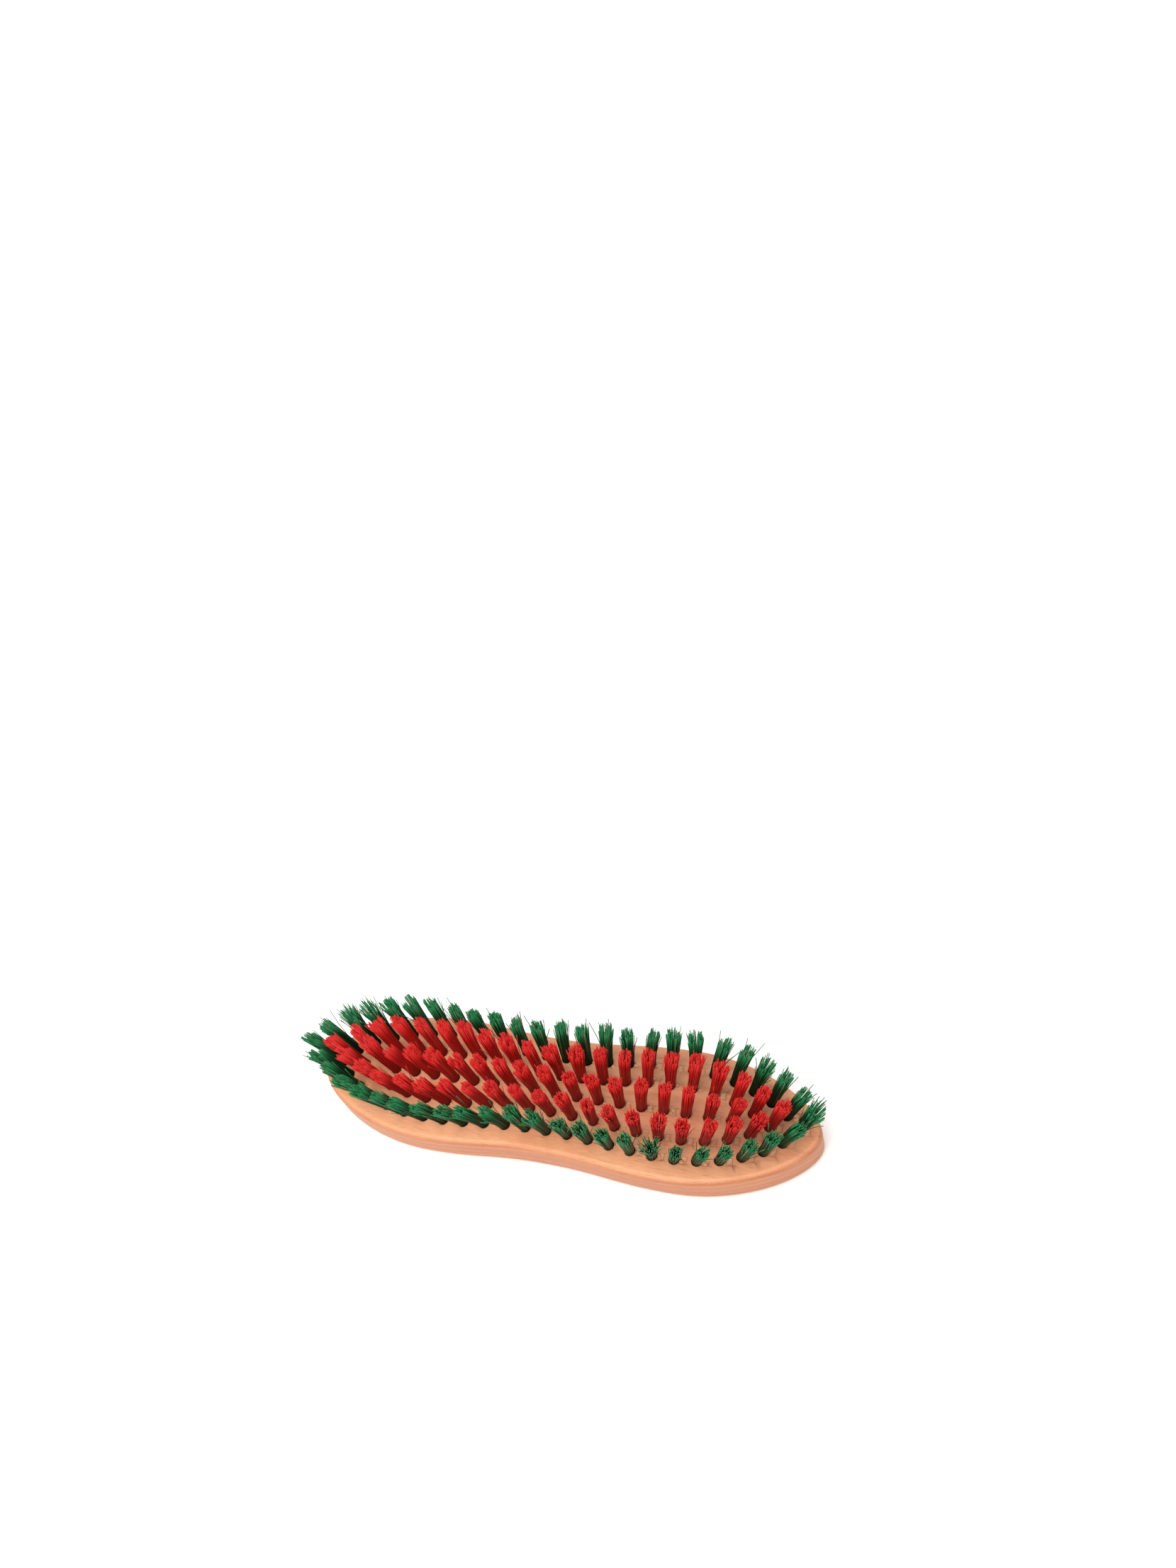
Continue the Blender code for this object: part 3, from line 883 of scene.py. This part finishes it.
def wood_material():
    """Peach wood: figure from the shared group, cream on the back and a pin knot or two."""
    material, tree, shader = new_material("satin_wood", roughness=0.45)
    coordinates = node(tree, "TexCoord")
    where = coordinates.outputs["Object"]
    figure = placed_group(tree, wood_figure, {"Band Scale": 95.0}, {"Vector": where})
    face_side = node(tree, "SeparateXYZ", {}, {"Vector": where}).outputs["Z"]
    on_back = math_node(tree, "SUBTRACT", 1.0, smooth_step(tree, face_side, BACK_Z + 0.0002, BACK_Z + 0.0012))
    base = blend_colours(tree, on_back, PEACH, CREAM)
    band = math_node(tree, "POWER", figure.outputs["Bands"], BAND_CONTRAST)
    band_depth = math_node(tree, "MULTIPLY", band, BAND_STRENGTH)
    base = blend_colours(tree, band_depth, base, PEACH_DARK)
    patch = smooth_step(tree, figure.outputs["Blotches"], 0.42, 0.64)
    blotch = math_node(tree, "MULTIPLY", patch, BLOTCH_STRENGTH)
    base = blend_colours(tree, blotch, base, ROSE)
    fibre = ramp(tree, figure.outputs["Fibre"], FIBRE_SHADES)
    base = blend_colours(tree, 1.0, base, fibre, "MULTIPLY")
    # Painted shade: the flank's colour is multiplied by a deeper tone, so that the lamps don't make it
    # lighter than the face.
    flank = node(tree, "Attribute", attribute_name="flank").outputs["Fac"]
    base = blend_colours(tree, flank, base, blend_colours(tree, 1.0, base, FLANK_SHADE_TONE, "MULTIPLY"))
    streak = math_node(tree, "MULTIPLY", figure.outputs["Streaks"], PORE_STRENGTH)
    base = blend_colours(tree, streak, base, PORE_AND_SHADE_BROWN)
    # Painted shade: above 0 this browns the dents' rims and the torn lips round the mouths as shadow; below 0
    # it is pale fresh wood.
    shade_and_fresh = node(tree, "Attribute", attribute_name="shade_and_fresh_wood").outputs["Fac"]
    base = blend_colours(tree, math_node(tree, "MULTIPLY", shade_and_fresh, PAINTED_SHADE_STRENGTH, clamp=True), base, PORE_AND_SHADE_BROWN)
    fresh = math_node(tree, "SUBTRACT", 0.0, shade_and_fresh)
    pressed = math_node(tree, "MULTIPLY", fresh, PRESSED_STRENGTH, clamp=True)
    base = blend_colours(tree, pressed, base, FRESH_WOOD)
    for x, y, z, radius in KNOTS:
        apart = node(tree, "VectorMath", {1: (x, y, z)}, {0: where}, operation="DISTANCE")
        knot = smooth_step(tree, apart.outputs["Value"], 1.5 * radius, 0.5 * radius)
        base = blend_colours(tree, knot, base, PORE_AND_SHADE_BROWN)
    tree.links.new(base, shader.inputs["Base Color"])
    gloss = node(
        tree, "MapRange", {"To Min": 0.36, "To Max": 0.52}, {"Value": figure.outputs["Fibre"]}
    )
    tree.links.new(gloss.outputs["Result"], shader.inputs["Roughness"])
    relief = math_node(tree, "SUBTRACT", figure.outputs["Fibre"], figure.outputs["Streaks"])
    bump = node(tree, "Bump", {"Strength": 0.30, "Distance": 0.00012}, {"Height": relief})
    tree.links.new(bump.outputs["Normal"], shader.inputs["Normal"])
    return material


wood = wood_material()
print("finish:", wood.name, "with", len(wood.node_tree.nodes), "nodes")

# %% Assemble the block
FLANK_FADE = 0.0010
parts = [face_points, back_points, flank_points, wall_points]
offsets = np.concatenate([[0], np.cumsum([len(part) for part in parts])[:-1]])
block_points, block_faces = welded(
    np.concatenate(parts),
    [
        face_triangles + offsets[0],
        back_triangles[:, ::-1] + offsets[1],
        flank_quads + offsets[2],
        wall_quads + offsets[3],
        bottom_caps + offsets[3],
    ],
)
block = mesh_object("shaped_block", block_points, block_faces, wood)
block.data.shade_smooth()
on_face = np.abs(block_points[:, 2] - FACE_Z) < 2 * LIP_HEIGHT
# Painted shade round the holes and pale fresh wood in the dents, as one value per point.
shade_and_fresh_wood = np.where(on_face, summed_over_holes(block_points[:, :2], shade_and_fresh_wood_at), 0.0)
block.data.attributes.new("shade_and_fresh_wood", "FLOAT", "POINT").data.foreach_set("value", shade_and_fresh_wood.astype(np.float32))
from_edge = np.linalg.norm(block_points[:, None, :2] - edge_loop[None, ::2], axis=-1).min(axis=1)
below_face = np.clip((FACE_Z - block_points[:, 2]) / FLANK_FADE, 0, 1)
above_back = np.clip((block_points[:, 2] - BACK_Z) / FLANK_FADE, 0, 1)
flank = np.where(from_edge < 2 * EDGE_ROUND, below_face * above_back, 0.0)
block.data.attributes.new("flank", "FLOAT", "POINT").data.foreach_set("value", flank.astype(np.float32))
from_arris = np.linalg.norm(block_points[:, None, :2] - arris[None, ::4], axis=-1).min(axis=1)
creased = (block_points[:, 2] > FACE_Z - 1e-6) & (from_arris < 0.0012)
arris_keys = {tuple(point) for point in np.round(1e5 * arris).astype(int).tolist()}
plan_keys = np.round(1e5 * block_points[:, :2]).astype(int).tolist()
creased &= np.array([tuple(key) in arris_keys for key in plan_keys])
ends = np.empty(2 * len(block.data.edges), np.int32)
block.data.edges.foreach_get("vertices", ends)
sharp = creased[ends.reshape(-1, 2)].all(axis=1)
block.data.attributes.new("sharp_edge", "BOOLEAN", "EDGE").data.foreach_set("value", sharp)
attach(block, ["wooden_block"])
print("block:", len(block.data.polygons), "faces,", int(sharp.sum()), "creased edges")

# %% [markdown]
# ## The filaments
# A tuft is some sixty filaments of one thickness, folded round a wire at the bottom of its
# hole and trimmed after it was driven in. They leave the hole packed together and spread
# towards their tips, and a few bend away from the rest.
#
# Each filament is a five-sided tube along a curve. All curves of a tuft are worked out at
# once: a sunflower spiral spreads their starting points over the hole, the same spiral, made
# wider, spreads their tips, and random numbers with a fixed seed make each one different.


# %% Filament curves
FILAMENT_RADIUS = 0.00015
TUBE_SIDES = 5
TUBE_RINGS = 5
BURIED = FACE_Z - FOOT_Z
CLUMPS = 9
GOLDEN_TURN = math.pi * (3 - math.sqrt(5))
WALL_CLEARANCE = 0.00008
OPENING_LENGTH = 0.03
FLARE_RANGE = (0.7, 1.5)
SPLAYED_EXTRA = 2.0
TALLEST_PAST_TRIM = 0.0006
STRAND_COLUMNS = 48


def tuft_curves(feet, tips, count, look, dice):
    """Points along every filament of some tufts, as (filament, ring, 3).

    Each is a quadratic curve from the mouth to the tip, with a straight buried start. The
    sunflower spiral puts filament k at a radius of the square root of its share of the count
    and at k golden angles. Tips use the same spiral times the tuft's flare, and each is drawn
    towards the nearest of a few random middles, so that the filaments stand in clumps.
    """
    share = (np.arange(count) + 0.5) / count
    spiral = np.sqrt(share)[None]
    angle = np.arange(count)[None] * GOLDEN_TURN + dice.uniform(0, 2 * math.pi, (len(feet), 1))
    round_it = np.stack([np.cos(angle), np.sin(angle), np.zeros_like(angle)], axis=-1)
    line = (tips - feet) / (tips - feet)[:, 2:]
    mouth = (feet + line * (FACE_Z - feet[:, 2:]))[:, None]
    line = line[:, None]

    packed = HOLE_RADIUS - FILAMENT_RADIUS - WALL_CLEARANCE
    start = mouth + round_it * (spiral * packed)[..., None]
    opening = np.clip((feet[:, :1] - look["open_from"]) / OPENING_LENGTH, 0, 1)
    open_at = opening * (feet[:, 1:2] < 0) * look["open"]
    flare_share = dice.normal(1.0, look["flare_spread"], (len(feet), 1))
    flare = look["tip_radius"] * np.clip(flare_share, *FLARE_RANGE)
    open_at = open_at + SPLAYED_EXTRA * (dice.random((len(feet), 1)) < look["splayed"])
    flare = flare * (1 + 0.18 * open_at)
    own = round_it * (spiral**0.85)[..., None]
    middles = dice.uniform(-0.85, 0.85, (len(feet), CLUMPS, 3)) * (1, 1, 0)
    gaps = np.linalg.norm(own[:, :, None] - middles[:, None], axis=-1)
    clump = gaps.argmin(axis=-1)
    pulled = np.take_along_axis(middles, clump[..., None], axis=1)
    own = own + look["clumping"] * (pulled - own)
    clump_drop = np.take_along_axis(dice.normal(0, look["clump_ragged"], (len(feet), CLUMPS)), clump, axis=1)
    push = dice.normal(0, look["lean_spread"], (len(feet), 1, 3)) * (1, 1, 0)
    rise = TRIM_Z - FACE_Z
    drop = np.abs(dice.normal(0, look["ragged"], (len(feet), count))) + clump_drop
    drop += dice.normal(0, look["tuft_ragged"], (len(feet), 1)) + look["short_by"]
    drop += look["dome"] * spiral**2
    tall = rise - np.clip(drop, -TALLEST_PAST_TRIM, None)
    end = mouth + line * tall[..., None] + push
    end += own * flare[..., None]
    end += dice.normal(0, look["jitter"], end.shape) * (1, 1, 0) * (1 + 1.2 * open_at[..., None])
    astray = dice.random(end.shape[:2]) < look["stray_share"]
    away = round_it * np.abs(dice.normal(0, look["stray_reach"], (*end.shape[:2], 1)))
    end += away * astray[..., None]
    lowest, highest = np.array(cad_box[0]), np.array(cad_box[1])
    end = np.clip(end, lowest + FILAMENT_RADIUS, highest + (0, 0, TALLEST_PAST_TRIM))
    bend = mouth + line * (tall * 0.5)[..., None] + round_it * (spiral * packed * 1.15)[..., None]
    bend += dice.normal(0, look["kink"], end.shape) * (1, 1, 0)

    t = np.linspace(0, 1, TUBE_RINGS - 1)[None, None, :, None]
    arc = (1 - t) ** 2 * start[:, :, None] + 2 * t * (1 - t) * bend[:, :, None] + t**2 * end[:, :, None]
    buried = start - line * BURIED
    curve = np.concatenate([buried[:, :, None], arc], axis=2)
    return curve.reshape(-1, TUBE_RINGS, 3)


def tube_points(curves, radius):
    """Rings of points square to each curve, as (curve, ring, side, 3)."""
    ahead = np.gradient(curves, axis=1)
    ahead /= np.linalg.norm(ahead, axis=-1, keepdims=True)
    side = np.cross(ahead, (1.0, 0.0, 0.0))
    side /= np.linalg.norm(side, axis=-1, keepdims=True)
    other = np.cross(ahead, side)
    angle = np.linspace(0, 2 * math.pi, TUBE_SIDES, endpoint=False)[:, None]
    circle_of = side[:, :, None] * np.cos(angle) + other[:, :, None] * np.sin(angle)
    return curves[:, :, None] + circle_of * radius


print("a filament has", TUBE_SIDES * (TUBE_RINGS - 1) + 2, "faces")


# %% Filament pieces
def filament_object(name, curves, dice, material):
    """Closed tubes on these curves, with the attributes and the map that their finish reads.

    `along` is 0 in the hole and 1 at the tip, `strand` is one number per filament and `cut`
    is 1 on the trimmed ends. The map puts each strand number in its own column.
    """
    count = len(curves)
    points = tube_points(curves, FILAMENT_RADIUS).reshape(-1, 3)
    stride = TUBE_RINGS * TUBE_SIDES
    shift = stride * np.arange(count)[:, None, None]
    quads = (grid_faces(TUBE_RINGS, TUBE_SIDES, True)[None] + shift).reshape(-1, 4)
    rim = np.arange(TUBE_SIDES)
    foot_caps = rim[::-1][None] + shift[:, 0]
    tip_caps = (stride - TUBE_SIDES + rim)[None] + shift[:, 0]
    obj = mesh_object(name, points, [quads, foot_caps, tip_caps], material)
    mesh = obj.data

    travelled = np.linspace(0, 1, TUBE_RINGS - 1)
    along = np.concatenate([[0.0], travelled])
    column = dice.integers(0, STRAND_COLUMNS, count)
    along_all = np.broadcast_to(along[None, :, None], (count, TUBE_RINGS, TUBE_SIDES))
    strand_all = np.broadcast_to(((column + 0.5) / STRAND_COLUMNS)[:, None, None], along_all.shape)
    for label, values in (("along", along_all), ("strand", strand_all)):
        attribute = mesh.attributes.new(label, "FLOAT", "POINT")
        attribute.data.foreach_set("value", values.ravel().astype(np.float32))
    cut = np.concatenate([np.zeros(len(quads) + count), np.ones(count)])
    mesh.attributes.new("cut", "FLOAT", "FACE").data.foreach_set("value", cut.astype(np.float32))
    smooth = np.concatenate([np.ones(len(quads), bool), np.zeros(2 * count, bool)])
    mesh.polygons.foreach_set("use_smooth", smooth)

    ring, side = np.mgrid[0 : TUBE_RINGS - 1, 0:TUBE_SIDES]
    u = np.stack([side, side + 1, side + 1, side], axis=-1).reshape(-1, 4) / TUBE_SIDES
    v = np.stack([ring, ring, ring + 1, ring + 1], axis=-1).reshape(-1, 4) / (TUBE_RINGS - 1)
    turn = np.linspace(0, 2 * math.pi, TUBE_SIDES, endpoint=False)
    cap_u, cap_v = 0.5 + 0.4 * np.cos(turn), 0.5 + 0.5 * np.sin(turn)
    column_width = 1 / STRAND_COLUMNS
    left = column[:, None, None] * column_width
    side_v = np.broadcast_to(0.04 + 0.90 * v, (count, *v.shape))
    side_map = np.stack([left + column_width * (0.2 + 0.6 * u[None]), side_v], axis=-1)
    left = left[:, :, 0]
    foot_v = np.broadcast_to(0.005 + 0.02 * cap_v[::-1], (count, TUBE_SIDES))
    tip_v = np.broadcast_to(0.965 + 0.03 * cap_v, (count, TUBE_SIDES))
    foot_map = np.stack([left + column_width * cap_u[::-1], foot_v], axis=-1)
    tip_map = np.stack([left + column_width * cap_u, tip_v], axis=-1)
    layer = mesh.uv_layers.new(name="OFBake")
    flat = np.concatenate([side_map.reshape(-1, 2), foot_map.reshape(-1, 2), tip_map.reshape(-1, 2)])
    layer.uv.foreach_set("vector", flat.astype(np.float32).ravel())
    return obj


# %% [markdown]
# ### Filament finish
# The plastic is dyed right through. Dark colour at the foot is painted shade, where little
# light gets in between the filaments, and the colour grows lighter towards the tips. The trimmed
# ends of the green ones are scuffed and a little pale; those of the red ones are painted a
# shade deeper than the tips, as painted shade on their upturned ends.
# Among the green ones a few are nearly clear and show as tan.

# %% Filament finish
GREEN = {
    "Foot Shade Colour": (0.0010, 0.0080, 0.0025, 1.0),
    "Body Colour": (0.0040, 0.0720, 0.0200, 1.0),
    "Tip Colour": (0.0120, 0.1700, 0.0560, 1.0),
    "Cut Colour": (0.0280, 0.2050, 0.0800, 1.0),
    "Odd Colour": (0.34, 0.34, 0.14, 1.0),
    "Odd Share": 0.05,
    "Foot Shade Reach": 0.55,
    "Shade Spread": 0.9,
}
RED = {
    "Foot Shade Colour": (0.25, 0.006, 0.004, 1.0),
    "Body Colour": (0.56, 0.012, 0.010, 1.0),
    "Tip Colour": (0.62, 0.018, 0.015, 1.0),
    # Painted shade: the red cut ends are set a little deeper than the tips, to hold down the light on their
    # upturned faces.
    "Cut Colour": (0.56, 0.020, 0.017, 1.0),
    "Odd Colour": (0.74, 0.08, 0.06, 1.0),
    "Odd Share": 0.04,
    "Foot Shade Reach": 0.40,
    "Shade Spread": 0.3,
}


def filament_material(name, tints):
    """Glossy dyed plastic whose tint comes from the shared filament group."""
    material, tree, shader = new_material(name, roughness=0.35, specular_ior_level=0.3)
    tint = placed_group(tree, filament_tint, tints)
    tree.links.new(tint.outputs["Colour"], shader.inputs["Base Color"])
    gloss = node(tree, "MapRange", {"To Min": 0.38, "To Max": 0.58}, {"Value": tint.outputs["Gloss Noise"]})
    tree.links.new(gloss.outputs["Result"], shader.inputs["Roughness"])
    return material


finishes = {
    "border": (filament_material("green_filament", GREEN), "green_filament"),
    "ring": (filament_material("red_filament", RED), "red_filament"),
}
finishes["spine"] = finishes["ring"]
print("finishes: green and red filament")

# %% Grow every tuft
RED_LOOK = {
    "tip_radius": 0.0031, "flare_spread": 0.10, "lean_spread": 0.0005, "ragged": 0.0010,
    "tuft_ragged": 0.0004, "clump_ragged": 0.0009, "short_by": -0.0004, "dome": 0.0007,
    "jitter": 0.00018, "clumping": 0.25, "stray_share": 0.02, "stray_reach": 0.0014,
    "kink": 0.00010, "open": 0.25, "open_from": -0.010, "splayed": 0.0,
}
GREEN_LOOK = {
    "tip_radius": 0.0030, "flare_spread": 0.12, "lean_spread": 0.0006, "ragged": 0.0008,
    "tuft_ragged": 0.0005, "clump_ragged": 0.0007, "short_by": 0.0, "dome": 0.0007,
    "jitter": 0.00024, "clumping": 0.30, "stray_share": 0.05, "stray_reach": 0.0020,
    "kink": 0.00016, "open": 0.25, "open_from": -0.010, "splayed": 0.05,
}
LOOKS = {"border": GREEN_LOOK, "ring": RED_LOOK, "spine": RED_LOOK}
COUNTS = {"border": 105, "ring": 135, "spine": 135}
dice = np.random.default_rng(29)
filament_total = 0
for name in tuft_nodes:
    family, number = name.split("_tufts_")
    feet, tips = lines[name]
    curves = tuft_curves(feet, tips, COUNTS[family], LOOKS[family], dice)
    material, slot = finishes[family]
    piece = filament_object(f"{family}_filaments_{number}", curves, dice, material)
    attach(piece, [name])
    filament_total += len(curves)
print(filament_total, "filaments in", len(tuft_nodes), "pieces")

# %% [markdown]
# ## Torn chips, anchor wires and the label
# Where a tuft was driven in, the wood often tore up in a small flake beside the hole, on the
# heel side. The wires that hold the tufts lie across the bottoms of the holes, unseen. The
# label is a thin sheet on the back; it carries plain bars and no words.

# %% Torn chips
CHIP_STEPS = 6
CHIP_COLUMNS = 5
CHIP_THICKNESS = 0.00016
CHIP_PALENESS = -0.6


def chip_surfaces(dice):
    """Flakes that rise towards their holes, each a closed leaf, as (points, quads).

    A leaf's top falls with the square of the way out from the rim and arches a little across.
    Its underside is the same surface, lowered by a thickness that is nothing at the rim.
    """
    chance = np.where(hole_centres[:, 0] > DENT_START, 0.72, 0.40)
    torn = np.flatnonzero(dice.random(len(hole_centres)) < chance)
    out, side = np.meshgrid(np.linspace(0, 1, CHIP_STEPS), np.linspace(-1, 1, CHIP_COLUMNS), indexing="ij")
    all_points, all_quads = [], []
    for hole in torn:
        length, width, height = dice.uniform((0.0009, 0.00050, 0.00030), (0.0024, 0.00100, 0.00080))
        swing = dice.normal(0, math.radians(24))
        reach = HOLE_RADIUS + 0.00004 + length * out
        across = width * side * (1 - 0.65 * out**2) + 0.00012 * dice.normal(0, 1, out.shape)
        top = FACE_Z - 0.00004 + height * (1 - out) ** 1.6 * (1 - 0.30 * side**2)
        body = CHIP_THICKNESS * (1 - side**2) * np.sin(math.pi * out) ** 0.5
        x = reach * math.cos(swing) - across * math.sin(swing)
        y = reach * math.sin(swing) + across * math.cos(swing)
        plan = np.stack([x, y], axis=-1) + hole_centres[hole]
        for z in (top, top - body):
            all_points.append(np.concatenate([plan, z[..., None]], axis=-1).reshape(-1, 3))
        quads = grid_faces(CHIP_STEPS, CHIP_COLUMNS, False)
        start = len(all_quads) * CHIP_STEPS * CHIP_COLUMNS
        all_quads += [quads + start, quads[:, ::-1] + start + CHIP_STEPS * CHIP_COLUMNS]
    return np.concatenate(all_points), np.concatenate(all_quads), len(torn)


chip_points, chip_quads, chip_count = chip_surfaces(np.random.default_rng(5))
chip_points, chip_quads = welded(chip_points, [chip_quads])
chips = mesh_object("torn_chips", chip_points, chip_quads, wood)
chips.data.shade_smooth()
pale = np.full(len(chip_points), CHIP_PALENESS, np.float32)
chips.data.attributes.new("shade_and_fresh_wood", "FLOAT", "POINT").data.foreach_set("value", pale)
attach(chips, [])
print("chips beside", chip_count, "holes")

# %% Anchor wires
WIRE_LENGTH = 0.0038
WIRE_HEIGHT = 0.0016
WIRE_THICKNESS = 0.00035
WIRE_OVERLAP = 0.0004
wire_material, tree, shader = new_material("wire_steel", roughness=0.38, metallic=1.0)
where = node(tree, "TexCoord").outputs["Object"]
specks = placed_group(tree, mottle, {"Scale": 1500.0, "Amount": 0.5}, {"Vector": where})
tint = blend_colours(tree, specks.outputs["Mask"], (0.55, 0.55, 0.56, 1.0), (0.38, 0.37, 0.36, 1.0))
tree.links.new(tint, shader.inputs["Base Color"])
corner = np.array([(x, y, z) for x in (-0.5, 0.5) for y in (-0.5, 0.5) for z in (-0.5, 0.5)])
box_quads = np.array([(0, 1, 3, 2), (4, 6, 7, 5), (0, 4, 5, 1), (2, 3, 7, 6), (0, 2, 6, 4), (1, 5, 7, 3)])
wire_box = corner * (WIRE_THICKNESS, WIRE_LENGTH, WIRE_HEIGHT)
wire_middles = mouths + slopes * (FOOT_Z + WIRE_OVERLAP - WIRE_HEIGHT / 2 - FACE_Z)
wire_points = (wire_middles[:, None] + wire_box[None]).reshape(-1, 3)
wire_quads = (box_quads[None] + len(corner) * np.arange(len(mouths))[:, None, None]).reshape(-1, 4)
wires = mesh_object("anchor_wires", wire_points, [wire_quads], wire_material)
attach(wires, [])
print("wires:", len(mouths))

# %% Label
LABEL_LENGTH = 0.046
LABEL_WIDTH = 0.029
LABEL_THICKNESS = 0.0002
LABEL_CORNER = 0.005
LABEL_TURN = math.radians(6.0)
LABEL_CORNER_STEPS = 14
label_middle = np.mean([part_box("back_label")[0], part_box("back_label")[1]], axis=0)
half = np.array([LABEL_LENGTH, LABEL_WIDTH]) / 2
label_loop = [(-half[0], half[1])]
for side_x, side_y, start in ((-1, -1, 180), (1, -1, 270), (1, 1, 0)):
    for angle in np.radians(np.linspace(start, start + 90, LABEL_CORNER_STEPS)):
        middle = np.array([side_x, side_y]) * (half - LABEL_CORNER)
        label_loop.append(tuple(middle + LABEL_CORNER * np.array([math.cos(angle), math.sin(angle)])))
turn = np.array([[math.cos(LABEL_TURN), math.sin(LABEL_TURN)], [-math.sin(LABEL_TURN), math.cos(LABEL_TURN)]])
label_plan = np.array(label_loop) @ turn + label_middle[:2]
count = len(label_plan)
label_points = np.concatenate(
    [np.column_stack([label_plan, np.full(count, z)]) for z in (BACK_Z - LABEL_THICKNESS, BACK_Z)]
)
low = np.arange(count)
beside = (low + 1) % count
label_sides = np.stack([low, beside, beside + count, low + count], axis=1)
label_faces = [low[::-1][None], (low + count)[None], label_sides]


def bar(tree, place, middle, half_size, softness=0.00008):
    """A mask of an upright rectangle about a middle, in the label's own axes."""
    offset = node(tree, "VectorMath", {1: (*middle, 0.0)}, {0: place}, operation="SUBTRACT").outputs[0]
    apart = node(tree, "VectorMath", {}, {0: offset}, operation="ABSOLUTE").outputs[0]
    parts = node(tree, "SeparateXYZ", {}, {"Vector": apart})
    inside_x = smooth_step(tree, parts.outputs["X"], half_size[0] + softness, half_size[0] - softness)
    inside_y = smooth_step(tree, parts.outputs["Y"], half_size[1] + softness, half_size[1] - softness)
    return math_node(tree, "MULTIPLY", inside_x, inside_y)


label_material, tree, shader = new_material("printed_paper", roughness=0.55)
where = node(tree, "TexCoord").outputs["Object"]
place = node(
    tree,
    "Mapping",
    {"Location": (label_middle[0], label_middle[1], 0.0), "Rotation": (0.0, 0.0, LABEL_TURN)},
    {"Vector": where},
    vector_type="TEXTURE",
).outputs[0]
specks = placed_group(tree, mottle, {"Scale": 700.0, "Amount": 0.6}, {"Vector": where})
ink = blend_colours(tree, specks.outputs["Mask"], (0.78, 0.765, 0.70, 1.0), (0.72, 0.70, 0.63, 1.0))
BARS = (
    ((0.0, 0.0030), (0.0190, 0.0036), (0.72, 0.10, 0.05, 1.0)),
    ((0.0, -0.0045), (0.0190, 0.0007), (0.12, 0.12, 0.12, 1.0)),
    ((-0.0040, -0.0072), (0.0150, 0.0004), (0.20, 0.20, 0.20, 1.0)),
    ((-0.0070, -0.0092), (0.0120, 0.0004), (0.20, 0.20, 0.20, 1.0)),
    ((0.0, 0.0105), (0.0190, 0.0004), (0.12, 0.12, 0.12, 1.0)),
)
for middle, half_size, colour in BARS:
    ink = blend_colours(tree, bar(tree, place, middle, half_size), ink, colour)
tree.links.new(ink, shader.inputs["Base Color"])
label = mesh_object("paper_label", label_points, label_faces, label_material)
attach(label, ["back_label"])
floor.location.z = BACK_Z - LABEL_THICKNESS
print("label:", count, "corners, middle at", np.round(1000 * label_middle[:2], 2), "mm")
